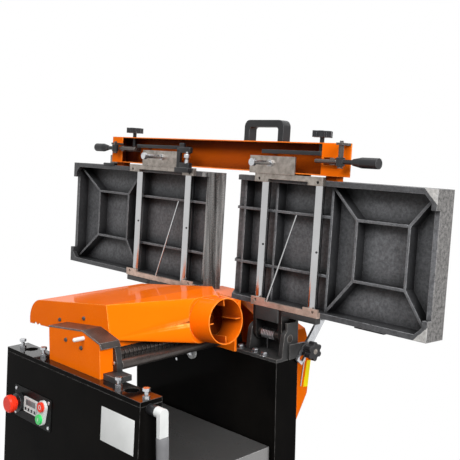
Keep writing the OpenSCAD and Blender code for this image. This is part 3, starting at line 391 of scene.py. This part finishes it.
def make_finish(name):
    """Material of one finish, from its row of values."""
    row = FINISHES[name]
    material = bpy.data.materials.new(name)
    material.use_nodes = True
    graph = Graph(material.node_tree)
    shader = graph.add("ShaderNodeBsdfPrincipled", {"Metallic": row.get("metal", 0.0)})
    shader.inputs["Specular IOR Level"].default_value = row.get("spec", 0.5)
    shader.inputs["Coat Weight"].default_value = row.get("coat", 0.0)
    shader.inputs["Coat Roughness"].default_value = COAT_ROUGHNESS
    out = graph.add("ShaderNodeOutputMaterial")
    graph.feed(out.inputs["Surface"], shader.outputs[0])
    scale, amount = row["mottle"]
    colour = group(
        graph, "mottle",
        {"Color": colour_of(name), "Tint": (*row["tint"], 1.0), "Scale": scale, "Amount": amount},
    )["Color"]
    grain_scale, bump, drift = row["grain"]
    grain = group(graph, "grain", {"Scale": grain_scale, "Stretch": row.get("stretch", (1, 1, 1))})
    rough = graph.spread(grain["Variation"], *GLOSS_SPREAD, row["rough"] - drift, row["rough"] + drift)
    if "top_coat" in row:
        tilt = graph.add("ShaderNodeSeparateXYZ", {0: graph.normal()}).outputs["Z"]
        upward = graph.spread(tilt, *UPWARD_TILT)
        graph.feed(shader.inputs["Coat Weight"], graph.math("MULTIPLY", upward, row["top_coat"]))
        rough = graph.math("ADD", rough, graph.math("MULTIPLY", upward, UPWARD_DULLING))
    if name == "charcoal_iron":
        colour, rough = bare_places(graph, shader, colour, rough)
    # Painted shade inside the dust outlet
    if name == "orange":
        colour = duct_shade(graph, colour)
    if "dark_below" in row:
        height = graph.dot(graph.place(), TABLE_UP)
        arms = graph.math("LESS_THAN", height, on_table(0, 0, row["dark_below"]).dot(TABLE_UP))
        colour = graph.mix(arms, colour, ARM_BLACK)
    outer = 1.0
    # Painted shade: the piece's own corners and hollows are darkened
    if "crease" in row:
        crease_shade, reach, share = row["crease"]
        mask = group(graph, "crease", {"Reach": reach * MM, "Amount": share})["Mask"]
        colour = graph.mix(mask, colour, (*crease_shade, 1.0))
        outer = graph.spread(mask, *EDGE_MARK_SHADE_FADE, 1.0, 0.0)
    relief = graph.add("ShaderNodeBump", {"Strength": 1.0, "Distance": bump * MM, "Height": grain["Height"]})
    # Lighter edges: partly rubbed paint, partly a painted highlight
    if "wear_and_highlight" in row:
        edge_tone, radius, share = row["wear_and_highlight"]
        edge = group(graph, "wear_and_highlight", {"Radius": radius * MM, "Amount": share})
        colour = graph.mix(graph.math("MULTIPLY", edge["Mask"], outer), colour, (*edge_tone, 1.0))
        graph.feed(relief.inputs["Normal"], edge["Normal"])
    graph.feed(shader.inputs["Base Color"], colour)
    graph.feed(shader.inputs["Roughness"], rough)
    graph.feed(shader.inputs["Normal"], relief.outputs[0])
    return material


def two_tone(graph, value, spread, dark, light):
    return graph.mix(graph.spread(value, *spread), dark, light)


def darken(graph, colour, value, spread, amount, paint):
    return graph.mix(graph.math("MULTIPLY", graph.spread(value, *spread), amount), colour, paint)


def bare_places(graph, shader, colour, rough):
    """Castings: painted shade on rib walls, dark paint on rims, raw iron on ends and pads, machined lips and
    planing faces.
    """
    place = graph.place()
    along = graph.add("ShaderNodeSeparateXYZ", {0: place}).outputs["X"]
    depth, height = graph.dot(place, TABLE_IN), graph.dot(place, TABLE_UP)
    speck = graph.noise(place, *SPECK)
    colour = darken(graph, colour, speck, *SAND)
    own_normal = graph.add(
        "ShaderNodeVectorTransform", {0: graph.normal()},
        vector_type="NORMAL", convert_from="WORLD", convert_to="OBJECT",
    ).outputs[0]
    # Painted shade: rib walls that run into the casting are darkened
    colour = darken(graph, colour, graph.math("ABSOLUTE", graph.dot(own_normal, TABLE_IN)), *WALL_SHADE)
    raw = two_tone(graph, speck, *RAW_IRON)
    for low, high in BARE_ENDS:
        mask = group(graph, "zone", {"Place": along, "Low": low, "High": high})["Mask"]
        colour = graph.mix(mask, colour, raw)
    rim = graph.math("LESS_THAN", depth, on_table(0, RIM_DEPTH, 0).dot(TABLE_IN))
    colour = graph.mix(graph.math("MULTIPLY", rim, RIM_SHARE), colour, RIM_PAINT)
    pads = graph.math("MULTIPLY", rim, corner_pads(graph, along, height, speck))
    colour = graph.mix(pads, colour, two_tone(graph, speck, *WORN_PAD))
    planed = graph.math("GREATER_THAN", depth, on_table(0, PLANING_DEPTH, 0).dot(TABLE_IN))
    lines = graph.noise(graph.vector("MULTIPLY", place, LINES_DRAW), *LINES)
    colour = graph.mix(planed, colour, two_tone(graph, lines, *PLANED))
    rough = graph.math("SUBTRACT", rough, graph.math("MULTIPLY", planed, PLANED_POLISH))
    streak = graph.noise(graph.vector("MULTIPLY", place, STREAK_DRAW), *STREAK)
    cut = two_tone(graph, streak, *CUT_LIP)
    shine = planed
    for low, high in LIPS:
        mask = group(graph, "zone", {"Place": along, "Low": low, "High": high})["Mask"]
        colour = graph.mix(mask, colour, cut)
        rough = graph.math("SUBTRACT", rough, graph.math("MULTIPLY", mask, LIP_POLISH))
        shine = graph.math("MAXIMUM", shine, mask)
    graph.feed(shader.inputs["Metallic"], graph.math("MULTIPLY", shine, BARE_METAL))
    return colour, rough


def corner_pads(graph, along, height, speck):
    """Mask of the two corners at the infeed end, with a ragged rim."""
    end, low, high = PAD_CORNER
    low, high = (on_table(0, 0, u).dot(TABLE_UP) for u in (low, high))
    off = graph.math("ABSOLUTE", graph.math("SUBTRACT", height, (low + high) / 2))
    from_edge = graph.math("SUBTRACT", (high - low) / 2, off)
    corner = graph.math("ADD", graph.math("SUBTRACT", end * MM, along), from_edge)
    ragged = graph.math("ADD", corner, graph.math("MULTIPLY", speck, PAD_RAGGED))
    return graph.math("LESS_THAN", ragged, PAD_SIZE)


def duct_shade(graph, colour):
    """Painted shade that darkens the inside of the duct away from its mouth."""
    offset = graph.vector("SUBTRACT", graph.place(), SEAM)
    reach = graph.dot(offset, OUTLET_AXIS)
    along = graph.add("ShaderNodeVectorMath", {0: OUTLET_AXIS, "Scale": reach}, operation="SCALE").outputs[0]
    aside = graph.vector("SUBTRACT", offset, along)
    inward = graph.math("LESS_THAN", graph.dot(aside, graph.normal()), DUCT_SHADE_FACING)
    inside = graph.math("MULTIPLY", inward, graph.math("LESS_THAN", graph.length(aside), DUCT_RADIUS))
    mask = graph.math("MULTIPLY", inside, graph.spread(reach, *DUCT_SHADE_FADE, 0.0, DUCT_SHADE_AMOUNT))
    return graph.mix(mask, colour, DUCT_SHADE)


MATERIALS = {}


def finish(name):
    """Material of a finish, made on first use."""
    if name not in MATERIALS:
        MATERIALS[name] = make_finish(name)
    return MATERIALS[name]


# Mesh tools

# Edges sharper than this stay sharp; sides of flat rings
SHARP_EDGE, RING_SIDES = math.radians(40), 32
# Screws: straight share of the head, width of its top, and the washer's sides and thickness
HEAD_STRAIGHT, HEAD_TOP, WASHER_SIDES, WASHER_THICK = 0.8, 0.82, 28, 0.0024


def keep_mesh(name, mesh, body, slot, material=None):
    """Object at the origin that rides on a body and takes a finish."""
    piece = bpy.data.objects.new(name, mesh)
    bpy.context.scene.collection.objects.link(piece)
    mesh.materials.clear()
    mesh.materials.append(material or finish(slot))
    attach(piece, body)
    return piece


def keep(name, work, body, slot, material=None):
    """Turns a bmesh into a finished piece with smooth rounded edges."""
    bmesh.ops.recalc_face_normals(work, faces=work.faces)
    for face in work.faces:
        face.smooth = True
    for edge in work.edges:
        edge.smooth = edge.is_manifold and edge.calc_face_angle(0.0) < SHARP_EDGE
    mesh = bpy.data.meshes.new(name)
    work.to_mesh(mesh)
    work.free()
    return keep_mesh(name, mesh, body, slot, material)


def add_box(work, centre, axes, size, edge=0.0):
    """Box with rounded edges; axes are its three directions, sizes in mm, centre in metres."""
    turn = Matrix((axes[0], axes[1], axes[2])).transposed().to_4x4()
    scale = Matrix.Diagonal((*[s * MM for s in size], 1.0))
    made = bmesh.ops.create_cube(work, size=1.0, matrix=Matrix.Translation(centre) @ turn @ scale)
    if edge:
        edges = list({e for v in made["verts"] for e in v.link_edges})
        bmesh.ops.bevel(
            work, geom=edges, offset=edge * MM, offset_type="OFFSET", segments=3, profile=0.5,
            affect="EDGES", clamp_overlap=True,
        )


def add_turned(work, base, axis, profile, steps=32):
    """Turned shape from (radius, height) pairs in mm along an axis."""
    axis = axis.normalized()
    side = axis.orthogonal().normalized()
    across = axis.cross(side)
    rings = []
    for radius, height in profile:
        centre = base + axis * height * MM
        if radius <= 0:
            rings.append([work.verts.new(centre)])
            continue
        ring = []
        for i in range(steps):
            a = math.tau * i / steps
            ring.append(work.verts.new(centre + radius * MM * (math.cos(a) * side + math.sin(a) * across)))
        rings.append(ring)
    for low, high in zip(rings, rings[1:]):
        for i in range(steps):
            j = (i + 1) % steps
            corners = [low[i % len(low)], low[j % len(low)], high[j % len(high)], high[i % len(high)]]
            unique = list(dict.fromkeys(corners))
            if len(unique) > 2:
                work.faces.new(unique)
    for ring in (rings[0], rings[-1]):
        if len(ring) > 1:
            work.faces.new(ring)


def add_ring(work, centre, axis, outer, inner, height):
    """Flat ring in mm around an axis."""
    side = axis.orthogonal().normalized()
    across = axis.cross(side)
    loops = []
    for radius, lift in ((outer, 0.0), (outer, height), (inner, height), (inner, 0.0)):
        loop = []
        for i in range(RING_SIDES):
            a = math.tau * i / RING_SIDES
            offset = radius * (math.cos(a) * side + math.sin(a) * across) + lift * axis
            loop.append(work.verts.new(centre + offset * MM))
        loops.append(loop)
    for first, second in zip(loops, loops[1:] + loops[:1]):
        for i in range(RING_SIDES):
            j = (i + 1) % RING_SIDES
            work.faces.new((first[i], first[j], second[j], second[i]))


def bolt_tree():
    """Geometry tree that puts a washer and a screw head on every point, turned along its facing attribute."""
    tree = bpy.data.node_groups.new("Headed screws", "GeometryNodeTree")
    tree.interface.new_socket("Points", in_out="INPUT", socket_type="NodeSocketGeometry")
    for label, kind, value in (
        ("Sides", "Int", 6), ("Across", "Float", 0.013), ("Head", "Float", 0.006),
        ("Washer", "Float", 0.01), ("Finish", "Material", None),
    ):
        socket = tree.interface.new_socket(label, in_out="INPUT", socket_type="NodeSocket" + kind)
        if value is not None:
            socket.default_value = value
    tree.interface.new_socket("Screws", in_out="OUTPUT", socket_type="NodeSocketGeometry")
    graph = Graph(tree)
    given = graph.add("NodeGroupInput").outputs
    out = graph.add("NodeGroupOutput").inputs
    radius = graph.math("MULTIPLY", given["Across"], 0.5)
    straight = graph.math("MULTIPLY", given["Head"], HEAD_STRAIGHT)
    head = graph.add(
        "GeometryNodeMeshCylinder", {"Vertices": given["Sides"], "Radius": radius, "Depth": straight}
    )
    cap = graph.add(
        "GeometryNodeMeshCone",
        {
            "Vertices": given["Sides"], "Radius Bottom": radius,
            "Radius Top": graph.math("MULTIPLY", radius, HEAD_TOP),
            "Depth": graph.math("MULTIPLY", given["Head"], 1 - HEAD_STRAIGHT),
        },
    )
    washer = graph.add(
        "GeometryNodeMeshCylinder", {"Vertices": WASHER_SIDES, "Radius": given["Washer"], "Depth": WASHER_THICK}
    )
    joined = graph.add("GeometryNodeJoinGeometry")
    for shape, lift in ((head, graph.math("MULTIPLY", straight, 0.5)), (cap, straight)):
        rise = graph.add("ShaderNodeCombineXYZ", {"Z": lift}).outputs[0]
        raised = graph.add("GeometryNodeTransform", {"Geometry": shape.outputs["Mesh"], "Translation": rise})
        tree.links.new(raised.outputs[0], joined.inputs[0])
    tree.links.new(washer.outputs["Mesh"], joined.inputs[0])
    facing = graph.add("GeometryNodeInputNamedAttribute", {"Name": "facing"}, data_type="FLOAT_VECTOR")
    turned = graph.add("FunctionNodeAlignRotationToVector", {"Vector": facing.outputs[0]}, axis="Z")
    placed = graph.add(
        "GeometryNodeInstanceOnPoints",
        {"Points": given["Points"], "Instance": joined.outputs[0], "Rotation": turned.outputs[0]},
    )
    real = graph.add("GeometryNodeRealizeInstances", {0: placed.outputs[0]})
    painted = graph.add("GeometryNodeSetMaterial", {"Geometry": real.outputs[0], "Material": given["Finish"]})
    graph.feed(out["Screws"], painted.outputs[0])
    return tree


def from_points(name, tree, points, body, slot, values):
    """Runs a geometry tree on (place, facing) points and keeps the result as a plain mesh."""
    seed = bpy.data.meshes.new(name + "_points")
    seed.from_pydata([p for p, _ in points], [], [])
    facing = seed.attributes.new("facing", "FLOAT_VECTOR", "POINT")
    for item, (_, direction) in zip(facing.data, points):
        item.vector = direction
    carrier = bpy.data.objects.new(name + "_points", seed)
    bpy.context.scene.collection.objects.link(carrier)
    modifier = carrier.modifiers.new("Nodes", "NODES")
    modifier.node_group = tree
    for item in tree.interface.items_tree:
        if item.in_out == "INPUT" and item.name in values:
            modifier[item.identifier] = values[item.name]
    graph = bpy.context.evaluated_depsgraph_get()
    mesh = bpy.data.meshes.new_from_object(carrier.evaluated_get(graph))
    bpy.data.objects.remove(carrier)
    mesh.name = name
    for face in mesh.polygons:
        face.use_smooth = False
    return keep_mesh(name, mesh, body, slot, values.get("Finish"))


# Settings


class PlanerColours(bpy.types.PropertyGroup):
    """Colours of the finishes, linear."""


DEFAULT_COLOURS = {
    "gloss_black": ("Cabinet black", (0.0025, 0.0024, 0.0024)),
    "panel_black": ("Panel black", (0.004, 0.004, 0.0042)),
    "orange": ("Orange paint", (0.90, 0.165, 0.002)),
    # Darker orange copy that paints the shade on the channel's web
    "shaded_channel_orange": ("Shaded channel paint", (0.77, 0.140, 0.003)),
    "charcoal_iron": ("Painted casting", (0.142, 0.144, 0.151)),
    "ground_steel": ("Ground steel", (0.54, 0.54, 0.545)),
    "warm_steel": ("Rolled steel", (0.36, 0.325, 0.29)),
    "worn_bar": ("Worn bars", (0.62, 0.45, 0.37)),
    "black_iron": ("Hinge castings", (0.034, 0.033, 0.033)),
    "zinc": ("Zinc plate", (0.62, 0.63, 0.65)),
    "black_plastic": ("Black plastic", (0.010, 0.010, 0.011)),
    "grey_plastic": ("Grey grip", (0.15, 0.15, 0.155)),
    "pale_plastic": ("Pale plastic", (0.62, 0.63, 0.62)),
    "yellow_film": ("Yellow strip", (0.97, 0.80, 0.004)),
    "red_plastic": ("Red plastic", (0.78, 0.035, 0.012)),
    "green_plastic": ("Green plastic", (0.015, 0.56, 0.10)),
    "bed_steel": ("Thickness table", (0.27, 0.266, 0.264)),
    "belt_rubber": ("Belt", (0.018, 0.018, 0.018)),
    "bar_black": ("Dark bars", (0.095, 0.082, 0.076)),
}
for key, (label, value) in DEFAULT_COLOURS.items():
    PlanerColours.__annotations__[key] = bpy.props.FloatVectorProperty(
        name=label, description="Base colour of this finish", subtype="COLOR", size=3, min=0.0, max=1.0,
        default=value,
    )


class PlanerSizes(bpy.types.PropertyGroup):
    """Sizes of the fittings and of the stage."""

    bolt_across: bpy.props.FloatProperty(
        name="Bolt head", description="Width across the bracket bolt heads", default=0.0165, unit="LENGTH"
    )
    screw_across: bpy.props.FloatProperty(
        name="Screw head", description="Diameter of the small screw heads", default=0.007, unit="LENGTH"
    )
    lens: bpy.props.FloatProperty(
        name="Lens", description="Focal length on a 36 mm sensor, in mm", default=61.24
    )
    key_power: bpy.props.FloatProperty(
        name="Lamp power", description="Power that each lamp takes a share of", default=54.0, unit="POWER"
    )


# Operators


class PieceOperator(bpy.types.Operator):
    """Shared base of the operators: each makes its pieces from the sizes."""

    bl_options = {"REGISTER", "UNDO"}

    def execute(self, context):
        self.make(context.scene.planer_sizes)
        return {"FINISHED"}


class PLANER_OT_finishes(PieceOperator):
    """Gives every CAD piece its finish."""

    bl_idname = "planer.finishes"
    bl_label = "Finishes"

    def make(self, sizes):
        slots = {p["node"]: p["material_slot"] for p in frame["record"]["subparts"]}
        for name, piece in frame["nodes"].items():
            piece.data.materials.clear()
            piece.data.materials.append(finish(OWN_FINISH.get(name, slots[name])))


class PLANER_OT_panel(PieceOperator):
    """Bare plate, display window, keys and switch marks of the front panel."""

    bl_idname = "planer.panel"
    bl_label = "Front panel fittings"

    def make(self, sizes):
        axes = (ALONG, PANEL_UP, PANEL_OUT)
        work = bmesh.new()
        add_box(work, on_panel(186, 676, 0.4), axes, (109, 70, 0.8), 0.3)
        keep("bare_plate", work, "machine", "pale_plastic")
        work = bmesh.new()
        add_box(work, on_panel(-134, 645, 5.1), axes, (40, 13, 0.5), 0.2)
        keep("display_window", work, "machine", "black_plastic", finish("grey_plastic"))
        work = bmesh.new()
        first_key, key_pitch = -155, 13
        for i in range(4):
            add_box(work, on_panel(first_key + key_pitch * i, 629, 5.2), axes, (7.5, 7, 0.8), 0.3)
        keep("display_keys", work, "machine", "black_plastic")
        switch_tilt, cap_face, cap_offset = math.radians(-12), 14.0, 15 * MM
        across = math.cos(switch_tilt) * ALONG + math.sin(switch_tilt) * PANEL_UP
        upward = -math.sin(switch_tilt) * ALONG + math.cos(switch_tilt) * PANEL_UP
        switch = on_panel(-84, 638, cap_face)
        work = bmesh.new()
        add_box(work, switch - cap_offset * upward, (across, upward, PANEL_OUT), (2.2, 9, 0.5), 0.1)
        keep("start_mark", work, "start", "pale_plastic")
        work = bmesh.new()
        add_ring(work, switch + cap_offset * upward, PANEL_OUT, outer=5.2, inner=3.4, height=0.25)
        keep("stop_mark", work, "stop", "pale_plastic")


class PLANER_OT_fasteners(PieceOperator):
    """Screws and bolts of the machine."""

    bl_idname = "planer.fasteners"
    bl_label = "Screws and bolts"

    def make(self, sizes):
        tree = bolt_tree()
        front, up = Vector((0, -1, 0)), Vector((0, 0, 1))
        zinc, black = finish("zinc"), finish("black_plastic")
        small = {"Sides": 20, "Across": sizes.screw_across, "Head": 0.0022, "Washer": 0.0041, "Finish": zinc}
        black_screw = {"Sides": 24, "Across": 0.0075, "Head": 0.0036, "Washer": 0.0045, "Finish": black}
        hex_bolt = {"Sides": 6, "Across": sizes.bolt_across, "Head": 0.008, "Washer": 0.0105, "Finish": zinc}
        corners = ((-203, 665), (-62, 665), (-62, 609), (-203, 609))
        points = [(on_panel(x, z, 2.0), PANEL_OUT) for x, z in corners]
        points += [(Vector((x, 153.5, z)) * MM, front) for x, z in ((-86, 700), (-87, 683))]
        points.append((Vector((97, -171, 780)) * MM, front))
        from_points("panel_screws", tree, points, "machine", "zinc", small)
        points = [(Vector((x, -204, z)) * MM, front) for x, z in ((-34, 809), (25, 803))]
        points += [(Vector((x, -157, z)) * MM, front) for x, z in ((-133, 827), (-35, 848))]
        from_points("cover_screws", tree, points, "machine", "black_plastic", black_screw)
        sides, heights = ((185, ALONG), (-80, -ALONG)), (150, 300, 450, 800)
        points = [(Vector((x, 236, z)) * MM, side) for x, side in sides for z in heights]
        from_points("guard_screws", tree, points, "machine", "zinc", small)
        places = ((130, 165.5), (176, 167.5), (210, 161.5))
        points = [(Vector((s * x, y, 757)) * MM, up) for s in (-1, 1) for x, y in places]
        from_points("bracket_bolts", tree, points, "machine", "zinc", hex_bolt)


class PLANER_OT_linkage(PieceOperator):
    """Link bars, clamp block and bolt, edge foot and bracket, and hinge lugs of the folded tables."""

    bl_idname = "planer.linkage"
    bl_label = "Table linkage"

    def make(self, sizes):
        axes = (ALONG, TABLE_IN, TABLE_UP)
        work = bmesh.new()
        bar_up, foot_wide = 417, 10
        for low, high in ((-314, -140), (153, 327)):
            add_box(work, on_table((low + high) / 2, -9.5, bar_up), axes, (high - low, 5, 9), 0.8)
            for x in (low + foot_wide / 2, high - foot_wide / 2):
                add_box(work, on_table(x, 13.5, bar_up), axes, (foot_wide, 42, 8), 0.6)
        keep("link_bars", work, "tables", "black_plastic")
        work = bmesh.new()
        for place, size, edge in (
            ((-111, -18, 361), (52, 16, 12), 2.0),
            ((-104, -17, 372), (38, 14, 16), 3.0),
            ((-131, -15, 388), (12, 10, 52), 2.0),
            ((-112, -14, 411), (50, 12, 15), 3.0),
            ((-124, -13, 423), (16, 8, 12), 2.0),
        ):
            add_box(work, on_table(*place), axes, size, edge)
        keep("clamp_block", work, "tables", "black_plastic")
        work = bmesh.new()
        add_turned(
            work, on_table(-97, -18, 378), TABLE_UP,
            [
                (0, 0), (6, 0), (6, 9), (5, 10), (5, 14), (8.5, 14),
                (8.5, 22), (7.2, 23.4), (4, 23.4), (4, 29), (0, 29),
            ],
        )
        keep("clamp_bolt", work, "tables", "zinc")
        work = bmesh.new()
        add_box(work, on_table(-452, 6, 362.5), axes, (50, 22, 7), 2.0)
        keep("edge_foot", work, "tables", "black_plastic")
        work = bmesh.new()
        add_box(work, on_table(-446, 14, 377), axes, (40, 6, 24), 1.5)
        add_box(work, on_table(-440, 14, 412), axes, (28, 6, 50), 1.5)
        add_turned(work, on_table(-449, 11, 378), -TABLE_IN, [(0, 0), (5, 0), (5, 0.3), (0, 0.3)], 20)
        keep("edge_bracket", work, "tables", "warm_steel")
        work = bmesh.new()
        arm_from = 243
        for side, reach in ((1, 343), (-1, 334)):
            add_box(work, on_table(side * 197, 1.5, 48), axes, (72, 21, 32), 2.5)
            middle = side * (reach + arm_from) / 2
            add_box(work, on_table(middle, -1, 57), axes, (reach - arm_from, 16, 14), 2.5)
        keep("hinge_lugs", work, "tables", "charcoal_iron", finish("black_iron"))


class PLANER_OT_trim(PieceOperator):
    """Lever grip, wheel hub, guard strip and rod, knob stud, and dark discs painted as the shade in the shaft
    holes.
    """

    bl_idname = "planer.trim"
    bl_label = "Grip and trim"

    def make(self, sizes):
        work = bmesh.new()
        top = Vector((292.5, -201.5, 687)) * MM
        add_turned(
            work, top, Vector((0, 0, -1)),
            [
                (0, 0), (11.4, 0), (12.4, 1.2), (12.4, 20), (12.0, 60),
                (11.8, 92), (10.6, 95.4), (7, 96.4), (0, 96.4),
            ],
            40,
        )
        keep("lever_grip", work, "feed_handle", "black_plastic", finish("grey_plastic"))
        work = bmesh.new()
        hub = Vector((-29, 149.5, 714)) * MM
        profile = [(0, 0), (9, 0), (9, 1.6), (7.6, 2.2), (4, 2.2), (4, 3.4), (0, 3.4)]
        add_turned(work, hub, Vector((0, -1, 0)), profile)
        keep("disc_hub", work, "machine", "zinc")
        work = bmesh.new()
        corners = [Vector((185, y, z)) for y, z in ((341, 703), (354.6, 701), (345.6, 636), (329, 639))]
        low = [work.verts.new(c * MM) for c in corners]
        strip_thick = 0.4
        high = [work.verts.new((c + strip_thick * ALONG) * MM) for c in corners]
        work.faces.new(low)
        work.faces.new(high)
        for i in range(4):
            work.faces.new((low[i], low[i - 1], high[i - 1], high[i]))
        keep("guard_strip", work, "machine", "pale_plastic", finish("yellow_film"))
        work = bmesh.new()
        foot, head = Vector((186.6, 317.2, 643.2)) * MM, Vector((186.6, 329.5, 711.3)) * MM
        long = (head - foot).length / MM
        add_turned(
            work, foot, head - foot,
            [
                (0, 0), (1.2, 0), (1.6, 0.6), (1.6, long - 6),
                (2.8, long - 6), (2.8, long - 1), (2.2, long), (0, long),
            ],
            16,
        )
        keep("guard_rod", work, "machine", "zinc")
        work = bmesh.new()
        _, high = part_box("stay_knob")
        add_turned(
            work, Vector((high[0] - 0.001, 0.241, 0.768)), ALONG,
            [(0, 0), (6.2, 0), (6.2, 1.6), (5.4, 2.2), (3.2, 2.2), (3.2, 3.4), (2.4, 4), (0, 4)], 24,
        )
        keep("knob_stud", work, "stay_clamp", "warm_steel")
        # Painted shade: flat dark discs on the shafts stand in for their holes
        work = bmesh.new()
        hole_turn, shaft_depth, shaft_radius = math.radians(42), 6, 10.85
        facing = math.cos(hole_turn) * -TABLE_IN + math.sin(hole_turn) * ALONG
        for x, u in ((-311, 215), (-111, 215), (159, 205), (318, 205)):
            face = on_table(x, shaft_depth, u) + shaft_radius * MM * facing
            add_turned(work, face, facing, [(0, 0), (2.6, 0), (2.6, 0.4), (0, 0.4)], 20)
        keep("shaft_hole_shade_discs", work, "tables", "black_plastic")


PIECES = ("finishes", "panel", "fasteners", "linkage", "trim")
# Camera fitted to the photo: place in metres, then turn, pitch and roll
CAMERA_PLACE = (1.3923, -1.0946, 1.2661)
CAMERA_ANGLES = [math.radians(a) for a in (45.98, 7.408, 0.762)]
# Lamps: name, place, aim and size in metres, share of the lamp power, whether mirrors show it
LAMPS = (
    ("Overhead", (0.1, 0.1, 3.2), (0, 0, 0.9), (2.4, 1.8), 0.45, True),
    ("Front", (0.9, -2.5, 3.1), (0, 0, 0.9), (2.0, 1.2), 1.4, True),
    ("Right", (3.0, -0.9, 2.3), (0, 0, 0.9), (1.5, 1.5), 2.5, False),
    ("Back", (0.2, 3.2, 2.0), (0, 0.2, 0.8), (2.4, 1.8), 0.7, True),
)
WORLD_FILL = 0.20
# Floor: radius and drop in metres, where it fades out, its colour
FLOOR_RADIUS, FLOOR_DROP, FLOOR_FADE, FLOOR_COLOUR = 3.0, 0.0005, (0.45, 0.95), (0.86, 0.86, 0.86, 1)


class PLANER_OT_stage(PieceOperator):
    """Camera, lights, background and floor."""

    bl_idname = "planer.stage"
    bl_label = "Stage"

    def make(self, sizes):
        self.camera(sizes)
        self.lights(sizes)
        self.background()
        self.floor()
        bpy.context.scene.view_settings.view_transform = "Standard"

    def camera(self, sizes):
        turn, pitch, roll = CAMERA_ANGLES
        flat = math.cos(pitch)
        ahead = Vector((-math.sin(turn) * flat, math.cos(turn) * flat, -math.sin(pitch)))
        level = ahead.cross(Vector((0, 0, 1))).normalized()
        upright = level.cross(ahead)
        right = math.cos(roll) * level + math.sin(roll) * upright
        top = -math.sin(roll) * level + math.cos(roll) * upright
        data = bpy.data.cameras.new("Camera")
        data.sensor_fit = "HORIZONTAL"
        data.sensor_width = 36.0
        data.lens = sizes.lens
        camera = bpy.data.objects.new("Camera", data)
        axes = Matrix((right, top, -ahead)).transposed().to_4x4()
        camera.matrix_world = Matrix.Translation(CAMERA_PLACE) @ axes
        bpy.context.scene.collection.objects.link(camera)
        bpy.context.scene.camera = camera

    def lights(self, sizes):
        for name, place, aim, size, share, mirrored in LAMPS:
            data = bpy.data.lights.new(name, "AREA")
            data.shape = "RECTANGLE"
            data.size, data.size_y = size
            data.energy = share * sizes.key_power
            lamp = bpy.data.objects.new(name, data)
            lamp.location = place
            lamp.visible_glossy = mirrored
            lamp.rotation_euler = (Vector(aim) - Vector(place)).to_track_quat("-Z", "Y").to_euler()
            bpy.context.scene.collection.objects.link(lamp)

    def background(self):
        world = bpy.data.worlds.new("Studio")
        bpy.context.scene.world = world
        world.use_nodes = True
        graph = Graph(world.node_tree)
        seen = self.seen(graph)
        white = graph.add("ShaderNodeBackground", {"Color": (1, 1, 1, 1), "Strength": 1.0})
        fill = graph.add("ShaderNodeBackground", {"Color": (1, 1, 1, 1), "Strength": WORLD_FILL})
        mixed = graph.add("ShaderNodeMixShader", {0: seen, 1: fill.outputs[0], 2: white.outputs[0]})
        out = graph.add("ShaderNodeOutputWorld")
        graph.feed(out.inputs["Surface"], mixed.outputs[0])

    def seen(self, graph):
        path = graph.add("ShaderNodeLightPath").outputs
        mirrored = graph.math("MAXIMUM", path["Is Glossy Ray"], path["Is Transmission Ray"])
        return graph.math("MAXIMUM", path["Is Camera Ray"], mirrored)

    def floor(self):
        work = bmesh.new()
        bmesh.ops.create_circle(work, cap_ends=True, segments=96, radius=FLOOR_RADIUS)
        mesh = bpy.data.meshes.new("Floor")
        work.to_mesh(mesh)
        work.free()
        material = bpy.data.materials.new("floor_white")
        material.use_nodes = True
        graph = Graph(material.node_tree)
        paint = graph.add("ShaderNodeBsdfDiffuse", {"Color": FLOOR_COLOUR})
        clear = graph.add("ShaderNodeBsdfTransparent")
        fade = graph.spread(graph.length(graph.place()), *FLOOR_FADE)
        mixed = graph.add("ShaderNodeMixShader", {0: fade, 1: paint.outputs[0], 2: clear.outputs[0]})
        out = graph.add("ShaderNodeOutputMaterial")
        graph.feed(out.inputs["Surface"], mixed.outputs[0])
        mesh.materials.append(material)
        floor = bpy.data.objects.new("Floor", mesh)
        floor.location.z = -FLOOR_DROP
        bpy.context.scene.collection.objects.link(floor)


class PLANER_PT_panel(bpy.types.Panel):
    """Lists the operators and the settings."""

    bl_label = "Planer thicknesser"
    bl_idname = "PLANER_PT_panel"
    bl_space_type = "VIEW_3D"
    bl_region_type = "UI"
    bl_category = "Planer"

    def draw(self, context):
        for name in (*PIECES, "stage"):
            self.layout.operator("planer." + name)
        for settings in (context.scene.planer_colours, context.scene.planer_sizes):
            for key in settings.__annotations__:
                self.layout.prop(settings, key)


CLASSES = (
    PlanerColours, PlanerSizes, PLANER_OT_finishes, PLANER_OT_panel, PLANER_OT_fasteners,
    PLANER_OT_linkage, PLANER_OT_trim, PLANER_OT_stage, PLANER_PT_panel,
)


def register():
    for item in CLASSES:
        bpy.utils.register_class(item)
    bpy.types.Scene.planer_colours = bpy.props.PointerProperty(type=PlanerColours)
    bpy.types.Scene.planer_sizes = bpy.props.PointerProperty(type=PlanerSizes)


def unregister():
    del bpy.types.Scene.planer_sizes
    del bpy.types.Scene.planer_colours
    for item in reversed(CLASSES):
        bpy.utils.unregister_class(item)


def main():
    register()
    for name in (*PIECES, "stage"):
        getattr(bpy.ops.planer, name)()


if __name__ == "__main__":
    main()
